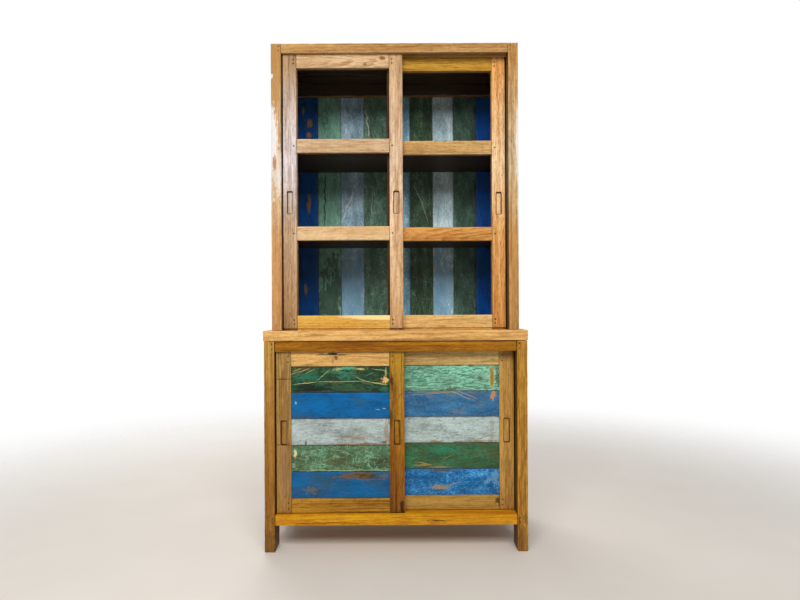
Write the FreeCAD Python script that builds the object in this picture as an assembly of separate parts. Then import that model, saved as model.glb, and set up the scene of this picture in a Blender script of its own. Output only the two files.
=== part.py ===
import FreeCAD, Part
import math
import os

# Mizuya kitchen cabinet: a glazed sliding-door hutch standing on a sliding-door base.
# Millimetres. X runs to the right, Y to the rear and Z up.
# The origin is on the floor under the middle of the counter.

# Whole cabinet
counter_width = 1004.0
cabinet_depth = 450.0
base_height = 800.0
counter_thickness = 40.0
hutch_height = 1100.0

# Base carcass
base_end_setback = 2.0
base_face_setback = 3.0
base_post_width = 40.0
base_front_post_depth = 90.0
base_rear_post_depth = 50.0
foot_chamfer = 4.0
leg_clearance = 100.0
sill_height = 41.0
sill_setback = 3.0
base_head_height = 41.0
base_head_setback = 5.0
base_side_rail_height = 41.0
base_back_rail_height = 41.0
base_shelf_top = 462.0

# Hutch carcass
hutch_end_setback = 30.0
hutch_face_setback = 28.0
hutch_rear_setback = 3.0
hutch_post_width = 39.0
hutch_front_post_depth = 88.0
hutch_rear_post_depth = 50.0
hutch_head_height = 37.0
hutch_side_rail_height = 40.0
hutch_top_rail_height = 72.0
hutch_low_rail_height = 40.0
hutch_shelf_tops = [375.0, 714.0]

# Carcass joinery
rail_thickness = 25.0
tenon_length = 22.0
back_tenon_length = 11.0
tenon_thickness = 12.0
track_tenon_setback = 14.0
track_tenon_depth = 48.0
tenon_shoulder = 5.0
tenon_end_gap = 1.0
post_tenon_length = 15.0
post_tenon_shoulder = 10.0
joint_clearance = 0.15
edge_ease = 1.5

# Boards that close the sides and the back, and the shelves
board_thickness = 12.0
groove_depth = 8.0
board_end_gap = 0.6
groove_clearance = 0.2
board_tongue = 5.0
board_vee = 1.2
board_gap = 0.3
back_rebate_width = 17.0
base_back_board_shares = [1.0] * 9
hutch_back_board_shares = [1.0, 1.0, 1.0, 1.0, 1.0, 1.0, 0.9, 1.0, 0.9]
side_board_count = 3
shelf_thickness = 20.0
shelf_board_count = 3
shelf_clearance = 1.0
top_board_thickness = 18.0
cleat_thickness = 13.0
cleat_height = 20.0
floor_bearer_width = 40.0
counter_plank_count = 4
plank_tongue = 8.0

# Door tracks
track_spacing = 12.0
top_groove_depth = 20.0
top_groove_clearance = 1.0
bottom_groove_depth = 8.0
bottom_groove_clearance = 0.8
door_tongue_thickness = 10.0
door_top_entry = 10.0
running_clearance = 0.3

# Door frames
door_thickness = 22.0
door_tenon_length = 34.0
door_tenon_thickness = 8.0
door_tenon_shoulder = 6.0
door_edge_ease = 1.0

# Glass doors
glass_door_inset = 15.0
glass_door_overlap = 62.0
glass_door_end_gap = 4.0
glass_door_floor_gap = 7.0
glass_stile_width = 52.0
glass_top_rail_height = 62.0
glass_mid_rail_height = 54.0
glass_bottom_rail_height = 50.5
lower_pane_height = 289.5
middle_pane_height = 283.5
pane_thickness = 3.0
pane_setback = 9.0
pane_rebate = 8.0
pane_clearance = 0.3
bead_depth = 9.0
glass_pull_above_counter = 493.0
glass_pull_width = 21.0
glass_pull_height = 86.0
glass_peg_pair_spacing = 15.5

# Panel doors
panel_door_inset = 18.0
panel_door_overlap = 66.0
panel_door_end_gap = 3.0
panel_door_floor_gap = 2.5
panel_stile_width = 57.0
panel_top_rail_height = 66.0
panel_bottom_rail_height = 55.5
panel_board_count = 5
panel_board_thickness = 10.0
panel_board_setback = 6.0
panel_pull_above_floor = 450.0
panel_pull_width = 22.0
panel_pull_height = 93.0
panel_peg_pair_spacing = 22.0

# Finger pulls and pegs
pull_depth = 9.0
pull_corner_radius = 4.0
pull_corner_flats = 3
peg_radius = 3.0
peg_flats = 8
peg_hole_clearance = 0.1
door_peg_length = 18.0
door_peg_inset = 11.0
carcass_peg_length = 40.0
carcass_peg_inset = 9.0
carcass_peg_pair_spacing = 16.0
base_head_peg_pair_spacing = 20.0

# How far a cutting body runs past the face that it opens
overrun = 2.0

# Places that follow from the sizes above
counter_top = base_height + counter_thickness
hutch_top = counter_top + hutch_height
front = -cabinet_depth / 2
rear = cabinet_depth / 2

base_half = counter_width / 2 - base_end_setback
base_inner = base_half - base_post_width
base_front = front + base_face_setback
base_track_rear = base_front + base_front_post_depth
base_rear = rear - base_face_setback
base_rear_post_front = base_rear - base_rear_post_depth
sill_top = leg_clearance + sill_height
base_head_underside = base_height - base_head_height

hutch_half = counter_width / 2 - hutch_end_setback
hutch_inner = hutch_half - hutch_post_width
hutch_front = front + hutch_face_setback
hutch_track_rear = hutch_front + hutch_front_post_depth
hutch_rear = rear - hutch_rear_setback
hutch_rear_post_front = hutch_rear - hutch_rear_post_depth
hutch_head_underside = hutch_top - hutch_head_height


def block(low, high):
    """A plain square-edged piece between two opposite corners."""
    size = [b - a for a, b in zip(low, high)]
    return Part.makeBox(size[0], size[1], size[2], FreeCAD.Vector(*low))


def mirrored(shape):
    """The left-hand copy of a right-hand piece."""
    return shape.mirror(FreeCAD.Vector(0, 0, 0), FreeCAD.Vector(1, 0, 0))


def runs_along(edge, axis):
    """True for a straight edge that is parallel to axis 0, 1 or 2."""
    start, end = edge.Vertexes[0].Point, edge.Vertexes[-1].Point
    step = [abs(end[i] - start[i]) for i in range(3)]
    return 2 * step[axis] > sum(step)


def eased(shape, axis, width=edge_ease):
    """The piece with the edges along one axis planed off to a small bevel."""
    edges = [edge for edge in shape.Edges if runs_along(edge, axis)]
    return shape.makeChamfer(width, edges)


def grown(low, high, margins):
    """The corners of a box made larger by a margin along each axis."""
    wider_low = [a - margin for a, margin in zip(low, margins)]
    wider_high = [b + margin for b, margin in zip(high, margins)]
    return wider_low, wider_high


def mortise(low, high, axis, grows_up):
    """The pocket for a tenon: easy on its cheeks and deeper than its end."""
    margins = [joint_clearance] * 3
    margins[axis] = 0
    wider_low, wider_high = grown(low, high, margins)
    if grows_up:
        wider_high[axis] += tenon_end_gap
        wider_low[axis] -= overrun
    else:
        wider_low[axis] -= tenon_end_gap
        wider_high[axis] += overrun
    return block(wider_low, wider_high)


def peg(x, face_y, z, length, extra_radius=0.0):
    """A wooden peg, whittled to flats, driven in from the front, or its hole."""
    radius = peg_radius + extra_radius
    corners = []
    for number in range(peg_flats):
        turn = 2 * math.pi * number / peg_flats
        across, up = radius * math.cos(turn), radius * math.sin(turn)
        corners.append(FreeCAD.Vector(x + across, face_y, z + up))
    face = Part.Face(Part.makePolygon(corners + corners[:1]))
    return face.extrude(FreeCAD.Vector(0, length, 0))


def peg_pair(z_low, z_high, spacing):
    """The heights of two pegs through one tenon."""
    middle = (z_low + z_high) / 2
    return [middle - spacing / 2, middle + spacing / 2]


def tongued_boards(shares, start, end, thickness, tongue, to_point, along, let_in=0.0):
    """Boards side by side from start to end, each tongued into the next.

    shares holds one number per board, its share of the width beside the
    others'. to_point turns a place across the boards and into their thickness
    into a point, and along is the vector of the boards' length. The first and
    the last board are wider by let_in, which goes into the frame's grooves.
    """
    unit = (end - start) / sum(shares)
    count = len(shares)
    tongue_front = thickness / 3
    tongue_rear = 2 * thickness / 3
    boards = []
    for number in range(count):
        low = start + unit * sum(shares[:number]) + (board_gap if number else -let_in)
        high = start + unit * sum(shares[:number + 1]) + (0 if number < count - 1 else let_in)
        outline = [(low + board_vee, 0), (high - board_vee, 0), (high, board_vee)]
        if number < count - 1:
            outline += [(high, tongue_front), (high + tongue, tongue_front)]
            outline += [(high + tongue, tongue_rear), (high, tongue_rear)]
        outline += [(high, thickness), (low, thickness)]
        if number:
            groove_end = low + tongue
            outline += [(low, tongue_rear + groove_clearance)]
            outline += [(groove_end, tongue_rear + groove_clearance)]
            outline += [(groove_end, tongue_front - groove_clearance)]
            outline += [(low, tongue_front - groove_clearance)]
        outline += [(low, board_vee)]
        corners = [to_point(across, depth) for across, depth in outline]
        face = Part.Face(Part.makePolygon(corners + corners[:1]))
        boards.append(face.extrude(along))
    return boards


def post(outer, width, face_y, depth, z_low, z_high):
    """A square post on the right-hand side, eased, and bevelled under its foot."""
    shape = block([outer - width, face_y, z_low], [outer, face_y + depth, z_high])
    if z_low == 0:
        foot = min(shape.Faces, key=lambda face: face.CenterOfMass.z)
        shape = shape.makeChamfer(foot_chamfer, foot.Edges)
    return eased(shape, 2)


def post_tenon(outer, width, face_y, depth, z_low, z_high):
    """The corners of the stub that joins a post to the counter."""
    inset = post_tenon_shoulder
    low = [outer - width + inset, face_y + inset, z_low]
    high = [outer - inset, face_y + depth - inset, z_high]
    return low, high


def track_rail_tenon(inner, post_y, z_low, z_high):
    """The corners of the right-hand stub tenon of a rail that carries tracks."""
    low = [inner, post_y + track_tenon_setback, z_low]
    high = [inner + tenon_length, post_y + track_tenon_setback + track_tenon_depth, z_high]
    return low, high


def side_rail_tenon(middle_x, post_y, direction, z_low, z_high):
    """The corners of one side rail's tenon, in the front or the rear post."""
    half = tenon_thickness / 2
    ends = sorted([post_y, post_y + direction * tenon_length])
    low = [middle_x - half, ends[0], z_low + tenon_shoulder]
    high = [middle_x + half, ends[1], z_high - tenon_shoulder]
    return low, high


def back_rail_tenon(inner, face_y, z_low, z_high):
    """The corners of the right-hand tenon of a back rail."""
    middle = face_y + rail_thickness / 2
    half = tenon_thickness / 2
    low = [inner, middle - half, z_low + tenon_shoulder]
    high = [inner + back_tenon_length, middle + half, z_high - tenon_shoulder]
    return low, high


def panel_groove(middle_x, y_low, y_high, z_low, z_high):
    """The groove that takes the edges of the side boards."""
    half = board_thickness / 2 + groove_clearance
    return block([middle_x - half, y_low, z_low], [middle_x + half, y_high, z_high])


def door_places(face_y, inset):
    """The front faces of the front and the rear door of a pair."""
    front_door = face_y + inset
    return [front_door, front_door + door_thickness + track_spacing]


def cut_top_grooves(rail, half, doors, underside):
    """Plough the two wide grooves that hold the doors' top edges."""
    for door_face in doors:
        low = [-half, door_face - top_groove_clearance, underside - overrun]
        high_y = door_face + door_thickness + top_groove_clearance
        rail = rail.cut(block(low, [half, high_y, underside + top_groove_depth]))
    return rail


def cut_bottom_grooves(piece, half, doors, top):
    """Plough the two narrow grooves that the doors' tongues slide in."""
    half_width = door_tongue_thickness / 2 + bottom_groove_clearance
    for door_face in doors:
        middle = door_face + door_thickness / 2
        low = [-half, middle - half_width, top - bottom_groove_depth]
        piece = piece.cut(block(low, [half, middle + half_width, top + overrun]))
    return piece


def build_posts(prefix, inner, outer, front_y, front_depth, rear_y, rear_depth, z_span,
                tenon_span, side_rails, track_rails, back_rails):
    """The four posts of a carcass, with every mortise, groove and rebate."""
    z_low, z_high = z_span
    width = outer - inner
    middle_x = (inner + outer) / 2
    shapes = {}
    for row, face_y, depth, joint_y, direction in (
            ("front", front_y, front_depth, front_y + front_depth, -1),
            ("rear", rear_y, rear_depth, rear_y, 1)):
        shape = post(outer, width, face_y, depth, z_low, z_high)
        shape = shape.fuse(block(*post_tenon(outer, width, face_y, depth, *tenon_span)))
        groove_ends = sorted([joint_y - direction * overrun, joint_y + direction * groove_depth])
        groove_low = side_rails[0][0]
        groove_high = side_rails[-1][1]
        groove = panel_groove(middle_x, groove_ends[0], groove_ends[1], groove_low, groove_high)
        shape = shape.cut(groove)
        for low_z, high_z in side_rails:
            tenon = side_rail_tenon(middle_x, joint_y, direction, low_z, high_z)
            shape = shape.cut(mortise(*tenon, 1, direction > 0))
        if row == "front":
            for low_z, high_z in track_rails:
                tenon = track_rail_tenon(inner, front_y, low_z, high_z)
                shape = shape.cut(mortise(*tenon, 0, True))
        else:
            for low_z, high_z in back_rails:
                tenon = back_rail_tenon(inner, rear_y, low_z, high_z)
                shape = shape.cut(mortise(*tenon, 0, True))
            rebate_low = [inner - overrun, rear_y + rail_thickness, z_low - overrun]
            rebate_high = [inner + back_rebate_width, rear_y + rear_depth + overrun, z_high + overrun]
            shape = shape.cut(block(rebate_low, rebate_high))
        shapes[row] = shape.removeSplitter()
    return {
        prefix + "_post_front_left": mirrored(shapes["front"]),
        prefix + "_post_front_right": shapes["front"],
        prefix + "_post_rear_left": mirrored(shapes["rear"]),
        prefix + "_post_rear_right": shapes["rear"],
    }


def build_side_rails(middle_x, front_joint, rear_joint, side_rails):
    """The rails that join the front posts to the rear posts, on both sides."""
    rails = []
    for place, (low_z, high_z) in enumerate(side_rails):
        low = [middle_x - rail_thickness / 2, front_joint, low_z]
        high = [middle_x + rail_thickness / 2, rear_joint, high_z]
        rail = eased(block(low, high), 1)
        for joint_y, direction in ((front_joint, -1), (rear_joint, 1)):
            tenon = side_rail_tenon(middle_x, joint_y, direction, low_z, high_z)
            rail = rail.fuse(block(*tenon))
        if place:
            groove_low, groove_high = low_z - overrun, low_z + groove_depth
        else:
            groove_low, groove_high = high_z - groove_depth, high_z + overrun
        reach = tenon_length + overrun
        groove = panel_groove(middle_x, front_joint - reach, rear_joint + reach, groove_low, groove_high)
        rail = rail.cut(groove).removeSplitter()
        rails += [rail, mirrored(rail)]
    return Part.makeCompound(rails)


def build_side_boards(middle_x, front_joint, rear_joint, side_rails):
    """Upright boards let into the grooves of the posts and the side rails."""
    let_in = groove_depth - board_end_gap
    z_low = side_rails[0][1] - let_in
    z_high = side_rails[-1][0] + let_in
    inner_face = middle_x + board_thickness / 2

    def to_point(across, depth):
        return FreeCAD.Vector(inner_face - depth, across, z_low)

    boards = tongued_boards([1] * side_board_count, front_joint - let_in, rear_joint + let_in,
                            board_thickness, board_tongue, to_point,
                            FreeCAD.Vector(0, 0, z_high - z_low))
    return Part.makeCompound(boards + [mirrored(board) for board in boards])


def build_back_rails(inner, rear_y, back_rails):
    """The two rails across the back, tenoned into the rear posts."""
    rails = []
    for low_z, high_z in back_rails:
        rail = eased(block([-inner, rear_y, low_z], [inner, rear_y + rail_thickness, high_z]), 0)
        tenon = block(*back_rail_tenon(inner, rear_y, low_z, high_z))
        rails.append(rail.fuse(tenon).fuse(mirrored(tenon)).removeSplitter())
    return Part.makeCompound(rails)


def build_back_boards(shares, inner, rear_y, z_low, z_high):
    """Upright boards behind the back rails, in the rebates of the rear posts."""
    half = inner + back_rebate_width - board_end_gap

    def to_point(across, depth):
        return FreeCAD.Vector(across, rear_y + rail_thickness + depth, z_low)

    return tongued_boards(shares, -half, half, board_thickness, board_tongue,
                          to_point, FreeCAD.Vector(0, 0, z_high - z_low))


def build_flat_boards(half, y_low, y_high, top, thickness):
    """Boards lying side by side, running from one side of the cabinet to the other."""

    def to_point(across, depth):
        return FreeCAD.Vector(-half, across, top - depth)

    return tongued_boards([1] * shelf_board_count, y_low, y_high, thickness, board_tongue,
                          to_point, FreeCAD.Vector(2 * half, 0, 0))


def notched(boards, inner, rear_y):
    """Shelf boards with their back corners cut away round the rear posts."""
    notch_low = inner - shelf_clearance
    result = []
    for board in boards:
        box = board.BoundBox
        if box.YMax > rear_y:
            corner = block([notch_low, rear_y - shelf_clearance, box.ZMin - overrun],
                           [box.XMax + overrun, box.YMax + overrun, box.ZMax + overrun])
            board = board.cut(corner).cut(mirrored(corner))
        result.append(board)
    return result


def cleat_pair(outer_x, y_low, y_high, top):
    """Two battens that carry the ends of a shelf."""
    low = [outer_x - cleat_thickness, y_low, top - cleat_height]
    batten = eased(block(low, [outer_x, y_high, top]), 1)
    return [batten, mirrored(batten)]


def build_base():
    """Every fixed piece of the base except the pegs."""
    middle_x = (base_inner + base_half) / 2
    side_rails = [(leg_clearance, leg_clearance + base_side_rail_height),
                  (base_height - base_side_rail_height, base_height)]
    back_rails = [(leg_clearance, leg_clearance + base_back_rail_height),
                  (base_height - base_back_rail_height, base_height)]
    head_y = base_front + base_head_setback
    head_tenon = (base_head_underside + top_groove_depth, base_height - tenon_shoulder)
    sill_y = base_front + sill_setback
    sill_tenon = (leg_clearance + tenon_shoulder, sill_top - bottom_groove_depth - tenon_shoulder)
    track_rails = [head_tenon, sill_tenon]
    pieces = build_posts("base", base_inner, base_half, base_front, base_front_post_depth,
                         base_rear_post_front, base_rear_post_depth, (0, base_height),
                         (base_height, base_height + post_tenon_length),
                         side_rails, track_rails, back_rails)
    doors = door_places(base_front, panel_door_inset)

    head = block([-base_inner, head_y, base_head_underside], [base_inner, base_track_rear, base_height])
    head = cut_top_grooves(eased(head, 0), base_inner + overrun, doors, base_head_underside)
    tenon = block(*track_rail_tenon(base_inner, base_front, *head_tenon))
    pieces["base_head_rail"] = head.fuse(tenon).fuse(mirrored(tenon)).removeSplitter()

    sill = block([-base_inner, sill_y, leg_clearance], [base_inner, base_track_rear, sill_top])
    sill = cut_bottom_grooves(eased(sill, 0), base_inner + overrun, doors, sill_top)
    tenon = block(*track_rail_tenon(base_inner, base_front, *sill_tenon))
    pieces["base_sill_rail"] = sill.fuse(tenon).fuse(mirrored(tenon)).removeSplitter()

    pieces["base_side_rails"] = build_side_rails(middle_x, base_track_rear, base_rear_post_front,
                                                 side_rails)
    pieces["base_side_boards"] = build_side_boards(middle_x, base_track_rear,
                                                   base_rear_post_front, side_rails)
    pieces["base_back_rails"] = build_back_rails(base_inner, base_rear_post_front, back_rails)
    pieces["base_back_boards"] = Part.makeCompound(
        build_back_boards(base_back_board_shares, base_inner, base_rear_post_front,
                          leg_clearance, base_height))

    floor_front = base_track_rear + board_gap
    floor_rear = base_rear_post_front - board_gap
    rail_inner = middle_x - rail_thickness / 2
    pieces["base_floor_boards"] = Part.makeCompound(
        build_flat_boards(rail_inner - board_gap, floor_front, floor_rear, sill_top, shelf_thickness))
    under_floor = sill_top - shelf_thickness
    bearer = block([-floor_bearer_width / 2, base_track_rear, leg_clearance],
                   [floor_bearer_width / 2, base_rear_post_front, under_floor])
    board_inner = middle_x - board_thickness / 2
    shelf_underside = base_shelf_top - shelf_thickness
    cleats = cleat_pair(rail_inner, base_track_rear, base_rear_post_front, under_floor)
    cleats += cleat_pair(board_inner, base_track_rear, base_rear_post_front, shelf_underside)
    pieces["base_cleats"] = Part.makeCompound(cleats + [eased(bearer, 1)])

    shelf_rear = base_rear_post_front + rail_thickness - shelf_clearance
    shelf = build_flat_boards(board_inner - shelf_clearance, base_track_rear + shelf_clearance,
                              shelf_rear, base_shelf_top, shelf_thickness)
    pieces["base_shelf"] = Part.makeCompound(notched(shelf, base_inner, base_rear_post_front))
    return pieces


def build_counter():
    """The overhanging counter: planks side by side, tongued edge to edge."""
    half = counter_width / 2
    pitch = cabinet_depth / counter_plank_count
    third = counter_thickness / 3
    doors = door_places(hutch_front, glass_door_inset)
    planks = []
    for number in range(counter_plank_count):
        y_low = front + number * pitch + (board_gap if number else 0)
        y_high = front + (number + 1) * pitch
        plank = eased(block([-half, y_low, base_height], [half, y_high, counter_top]), 0)
        if number < counter_plank_count - 1:
            plank = plank.fuse(block([-half, y_high, base_height + third],
                                     [half, y_high + plank_tongue, counter_top - third]))
        if number:
            plank = plank.cut(block([-half - overrun, y_low - overrun,
                                     base_height + third - groove_clearance],
                                    [half + overrun, y_low + plank_tongue,
                                     counter_top - third + groove_clearance]))
        planks.append(plank)
    planks[0] = cut_bottom_grooves(planks[0], hutch_inner, doors, counter_top)
    joints = (
        (base_half, base_post_width, base_front, base_front_post_depth, base_height, True),
        (base_half, base_post_width, base_rear_post_front, base_rear_post_depth, base_height, True),
        (hutch_half, hutch_post_width, hutch_front, hutch_front_post_depth,
         counter_top - post_tenon_length, False),
        (hutch_half, hutch_post_width, hutch_rear_post_front, hutch_rear_post_depth,
         counter_top - post_tenon_length, False),
    )
    for outer, width, face_y, depth, z_low, from_below in joints:
        tenon = post_tenon(outer, width, face_y, depth, z_low, z_low + post_tenon_length)
        pocket = mortise(*tenon, 2, from_below)
        planks = [plank.cut(pocket).cut(mirrored(pocket)) for plank in planks]
    return {
        "counter_front_plank": planks[0].removeSplitter(),
        "counter_planks": Part.makeCompound([plank.removeSplitter() for plank in planks[1:]]),
    }


def build_hutch():
    """Every fixed piece of the hutch except the pegs."""
    middle_x = (hutch_inner + hutch_half) / 2
    side_rails = [(counter_top, counter_top + hutch_side_rail_height),
                  (hutch_top - hutch_side_rail_height, hutch_top)]
    back_rails = [(counter_top, counter_top + hutch_low_rail_height),
                  (hutch_top - hutch_top_rail_height, hutch_top)]
    head_tenon = (hutch_head_underside + top_groove_depth, hutch_top - tenon_shoulder)
    track_rails = [head_tenon]
    pieces = build_posts("hutch", hutch_inner, hutch_half, hutch_front, hutch_front_post_depth,
                         hutch_rear_post_front, hutch_rear_post_depth, (counter_top, hutch_top),
                         (counter_top - post_tenon_length, counter_top),
                         side_rails, track_rails, back_rails)
    doors = door_places(hutch_front, glass_door_inset)

    head = block([-hutch_inner, hutch_front, hutch_head_underside],
                 [hutch_inner, hutch_track_rear, hutch_top])
    head = cut_top_grooves(eased(head, 0), hutch_inner + overrun, doors, hutch_head_underside)
    tenon = block(*track_rail_tenon(hutch_inner, hutch_front, *head_tenon))
    pieces["hutch_head_rail"] = head.fuse(tenon).fuse(mirrored(tenon)).removeSplitter()

    pieces["hutch_side_rails"] = build_side_rails(middle_x, hutch_track_rear,
                                                  hutch_rear_post_front, side_rails)
    pieces["hutch_side_boards"] = build_side_boards(middle_x, hutch_track_rear,
                                                    hutch_rear_post_front, side_rails)
    pieces["hutch_back_rails"] = build_back_rails(hutch_inner, hutch_rear_post_front, back_rails)
    boards = build_back_boards(hutch_back_board_shares, hutch_inner, hutch_rear_post_front,
                               counter_top, hutch_top)
    last = len(boards) - 1
    pieces["hutch_back_boards_blue"] = Part.makeCompound([boards[0], boards[last]])
    pieces["hutch_back_boards_green"] = Part.makeCompound(boards[1:last:2])
    pieces["hutch_back_boards_pale"] = Part.makeCompound(boards[2:last:2])

    rail_inner = middle_x - rail_thickness / 2
    board_inner = middle_x - board_thickness / 2
    pieces["hutch_top_boards"] = Part.makeCompound(
        build_flat_boards(rail_inner - board_gap, hutch_track_rear + board_gap,
                          hutch_rear_post_front - board_gap, hutch_top, top_board_thickness))
    cleats = cleat_pair(rail_inner, hutch_track_rear, hutch_rear_post_front,
                        hutch_top - top_board_thickness)
    shelf_rear = hutch_rear_post_front + rail_thickness - shelf_clearance
    for name, top_above_counter in zip(("hutch_shelf_lower", "hutch_shelf_upper"), hutch_shelf_tops):
        top = counter_top + top_above_counter
        shelf = build_flat_boards(board_inner - shelf_clearance, hutch_track_rear + shelf_clearance,
                                  shelf_rear, top, shelf_thickness)
        pieces[name] = Part.makeCompound(notched(shelf, hutch_inner, hutch_rear_post_front))
        cleats += cleat_pair(board_inner, hutch_track_rear, hutch_rear_post_front,
                             top - shelf_thickness)
    pieces["hutch_cleats"] = Part.makeCompound(cleats)
    return pieces


def finger_pull(middle_x, face_y, middle_z, width, height):
    """The tool that cuts a recessed upright finger pull with eased corners."""
    half_width, half_height = width / 2, height / 2
    centre_x, centre_z = half_width - pull_corner_radius, half_height - pull_corner_radius
    corners = []
    for quarter, (side_x, side_z) in enumerate(((1, 1), (-1, 1), (-1, -1), (1, -1))):
        for number in range(pull_corner_flats + 1):
            turn = math.pi / 2 * (quarter + number / pull_corner_flats)
            across = side_x * centre_x + pull_corner_radius * math.cos(turn)
            up = side_z * centre_z + pull_corner_radius * math.sin(turn)
            corners.append(FreeCAD.Vector(middle_x + across, face_y - overrun, middle_z + up))
    face = Part.Face(Part.makePolygon(corners + corners[:1]))
    return face.extrude(FreeCAD.Vector(0, overrun + pull_depth, 0))


def build_door_frame(left, width, face_y, z_low, stile, rails, pull, peg_spacing):
    """Stiles and rails of one door, joined by pegged mortises and tenons.

    rails lists each rail's name, lower edge and upper edge, from the bottom up,
    and pull is the finger pull's height, width and length.
    """
    right = left + width
    back_y = face_y + door_thickness
    z_high = rails[-1][2]
    middle_y = (face_y + back_y) / 2
    half_tenon = door_tenon_thickness / 2
    half_tongue = door_tongue_thickness / 2
    foot = z_low + running_clearance
    shoulder = rails[0][1]
    spans = {"left": (left, left + stile), "right": (right - stile, right)}
    frame = {}
    for side, (x_low, x_high) in spans.items():
        piece = eased(block([x_low, face_y, shoulder], [x_high, back_y, z_high]), 2, door_edge_ease)
        tongue = block([x_low, middle_y - half_tongue, foot], [x_high, middle_y + half_tongue, shoulder])
        piece = piece.fuse(tongue)
        frame[side] = piece.cut(finger_pull((x_low + x_high) / 2, face_y, pull[0], pull[1], pull[2]))
    pegs = []
    for name, low_z, high_z in rails:
        rail = eased(block([left + stile, face_y, low_z], [right - stile, back_y, high_z]),
                     0, door_edge_ease)
        tenon_low, tenon_high = low_z + door_tenon_shoulder, high_z - door_tenon_shoulder
        if name == "bottom_rail":
            rail = rail.fuse(block([left + stile, middle_y - half_tongue, foot],
                                   [right - stile, middle_y + half_tongue, low_z]))
        if name == "top_rail":
            heights = peg_pair(low_z, high_z - door_top_entry, peg_spacing)
        elif name == "bottom_rail":
            heights = peg_pair(low_z, high_z, peg_spacing)
        else:
            heights = [(low_z + high_z) / 2]
        for side, inward in (("left", 1), ("right", -1)):
            joint_x = spans[side][1] if inward > 0 else spans[side][0]
            ends = sorted([joint_x, joint_x - inward * door_tenon_length])
            low = [ends[0], middle_y - half_tenon, tenon_low]
            high = [ends[1], middle_y + half_tenon, tenon_high]
            rail = rail.fuse(block(low, high))
            frame[side] = frame[side].cut(mortise(low, high, 0, inward < 0))
            for height in heights:
                place = (joint_x - inward * door_peg_inset, face_y, height)
                hole = peg(*place, door_peg_length, peg_hole_clearance)
                rail = rail.cut(hole)
                frame[side] = frame[side].cut(hole)
                pegs.append(peg(*place, door_peg_length))
        frame[name] = rail.removeSplitter()
    frame["left"] = frame["left"].removeSplitter()
    frame["right"] = frame["right"].removeSplitter()
    frame["pegs"] = Part.makeCompound(pegs)
    return frame


def name_door_pieces(prefix, frame, is_left):
    """Give the frame's pieces the names that the door's place calls for."""
    sides = {"left": "outer_stile", "right": "meeting_stile"}
    if not is_left:
        sides = {"left": "meeting_stile", "right": "outer_stile"}
    return {prefix + "_" + sides.get(key, key): shape for key, shape in frame.items()}


def glaze(low_x, high_x, face_y, panes):
    """Rebates, panes and the beads that hold the panes from behind."""
    back_y = face_y + door_thickness
    glass_y = face_y + pane_setback
    bead_y = glass_y + pane_thickness + pane_clearance
    rebates, glass, beads = [], [], []
    for low_z, high_z in panes:
        outer_low = [low_x - pane_rebate, glass_y, low_z - pane_rebate]
        outer_high = [high_x + pane_rebate, back_y + overrun, high_z + pane_rebate]
        rebates.append(block(outer_low, outer_high))
        glass.append(block([outer_low[0] + pane_clearance, glass_y, outer_low[2] + pane_clearance],
                           [outer_high[0] - pane_clearance, glass_y + pane_thickness,
                            outer_high[2] - pane_clearance]))
        for side_low, side_high in ((outer_low[0], low_x), (high_x, outer_high[0])):
            beads.append(block([side_low, bead_y, outer_low[2]],
                               [side_high, bead_y + bead_depth, outer_high[2]]))
        for edge_low, edge_high in ((outer_low[2], low_z), (high_z, outer_high[2])):
            beads.append(block([low_x, bead_y, edge_low], [high_x, bead_y + bead_depth, edge_high]))
    return rebates, glass, beads


def build_glass_doors():
    """The two sliding glass doors of the hutch."""
    width = hutch_inner - glass_door_end_gap + glass_door_overlap / 2
    faces = door_places(hutch_front, glass_door_inset)
    bottom = counter_top + glass_door_floor_gap
    lower_rail = bottom + glass_bottom_rail_height + lower_pane_height
    upper_rail = lower_rail + glass_mid_rail_height + middle_pane_height
    top = hutch_head_underside + door_top_entry
    rails = [("bottom_rail", bottom, bottom + glass_bottom_rail_height),
             ("lower_mid_rail", lower_rail, lower_rail + glass_mid_rail_height),
             ("upper_mid_rail", upper_rail, upper_rail + glass_mid_rail_height),
             ("top_rail", top - glass_top_rail_height, top)]
    panes = [(rails[number][2], rails[number + 1][1]) for number in range(len(rails) - 1)]
    pull = (counter_top + glass_pull_above_counter, glass_pull_width, glass_pull_height)
    groove_floor = counter_top - bottom_groove_depth
    pieces = {}
    for prefix, left, face_y in (
            ("glass_door_left", glass_door_end_gap - hutch_inner, faces[0]),
            ("glass_door_right", -glass_door_overlap / 2, faces[1])):
        frame = build_door_frame(left, width, face_y, groove_floor, glass_stile_width, rails, pull,
                                 glass_peg_pair_spacing)
        rebates, glass, beads = glaze(left + glass_stile_width, left + width - glass_stile_width,
                                      face_y, panes)
        for key in frame:
            if key != "pegs":
                frame[key] = frame[key].cut(rebates)
        frame["mid_rails"] = Part.makeCompound([frame.pop("lower_mid_rail"),
                                                frame.pop("upper_mid_rail")])
        frame["panes"] = Part.makeCompound(glass)
        frame["beads"] = Part.makeCompound(beads)
        pieces.update(name_door_pieces(prefix, frame, prefix.endswith("left")))
    return pieces


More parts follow.
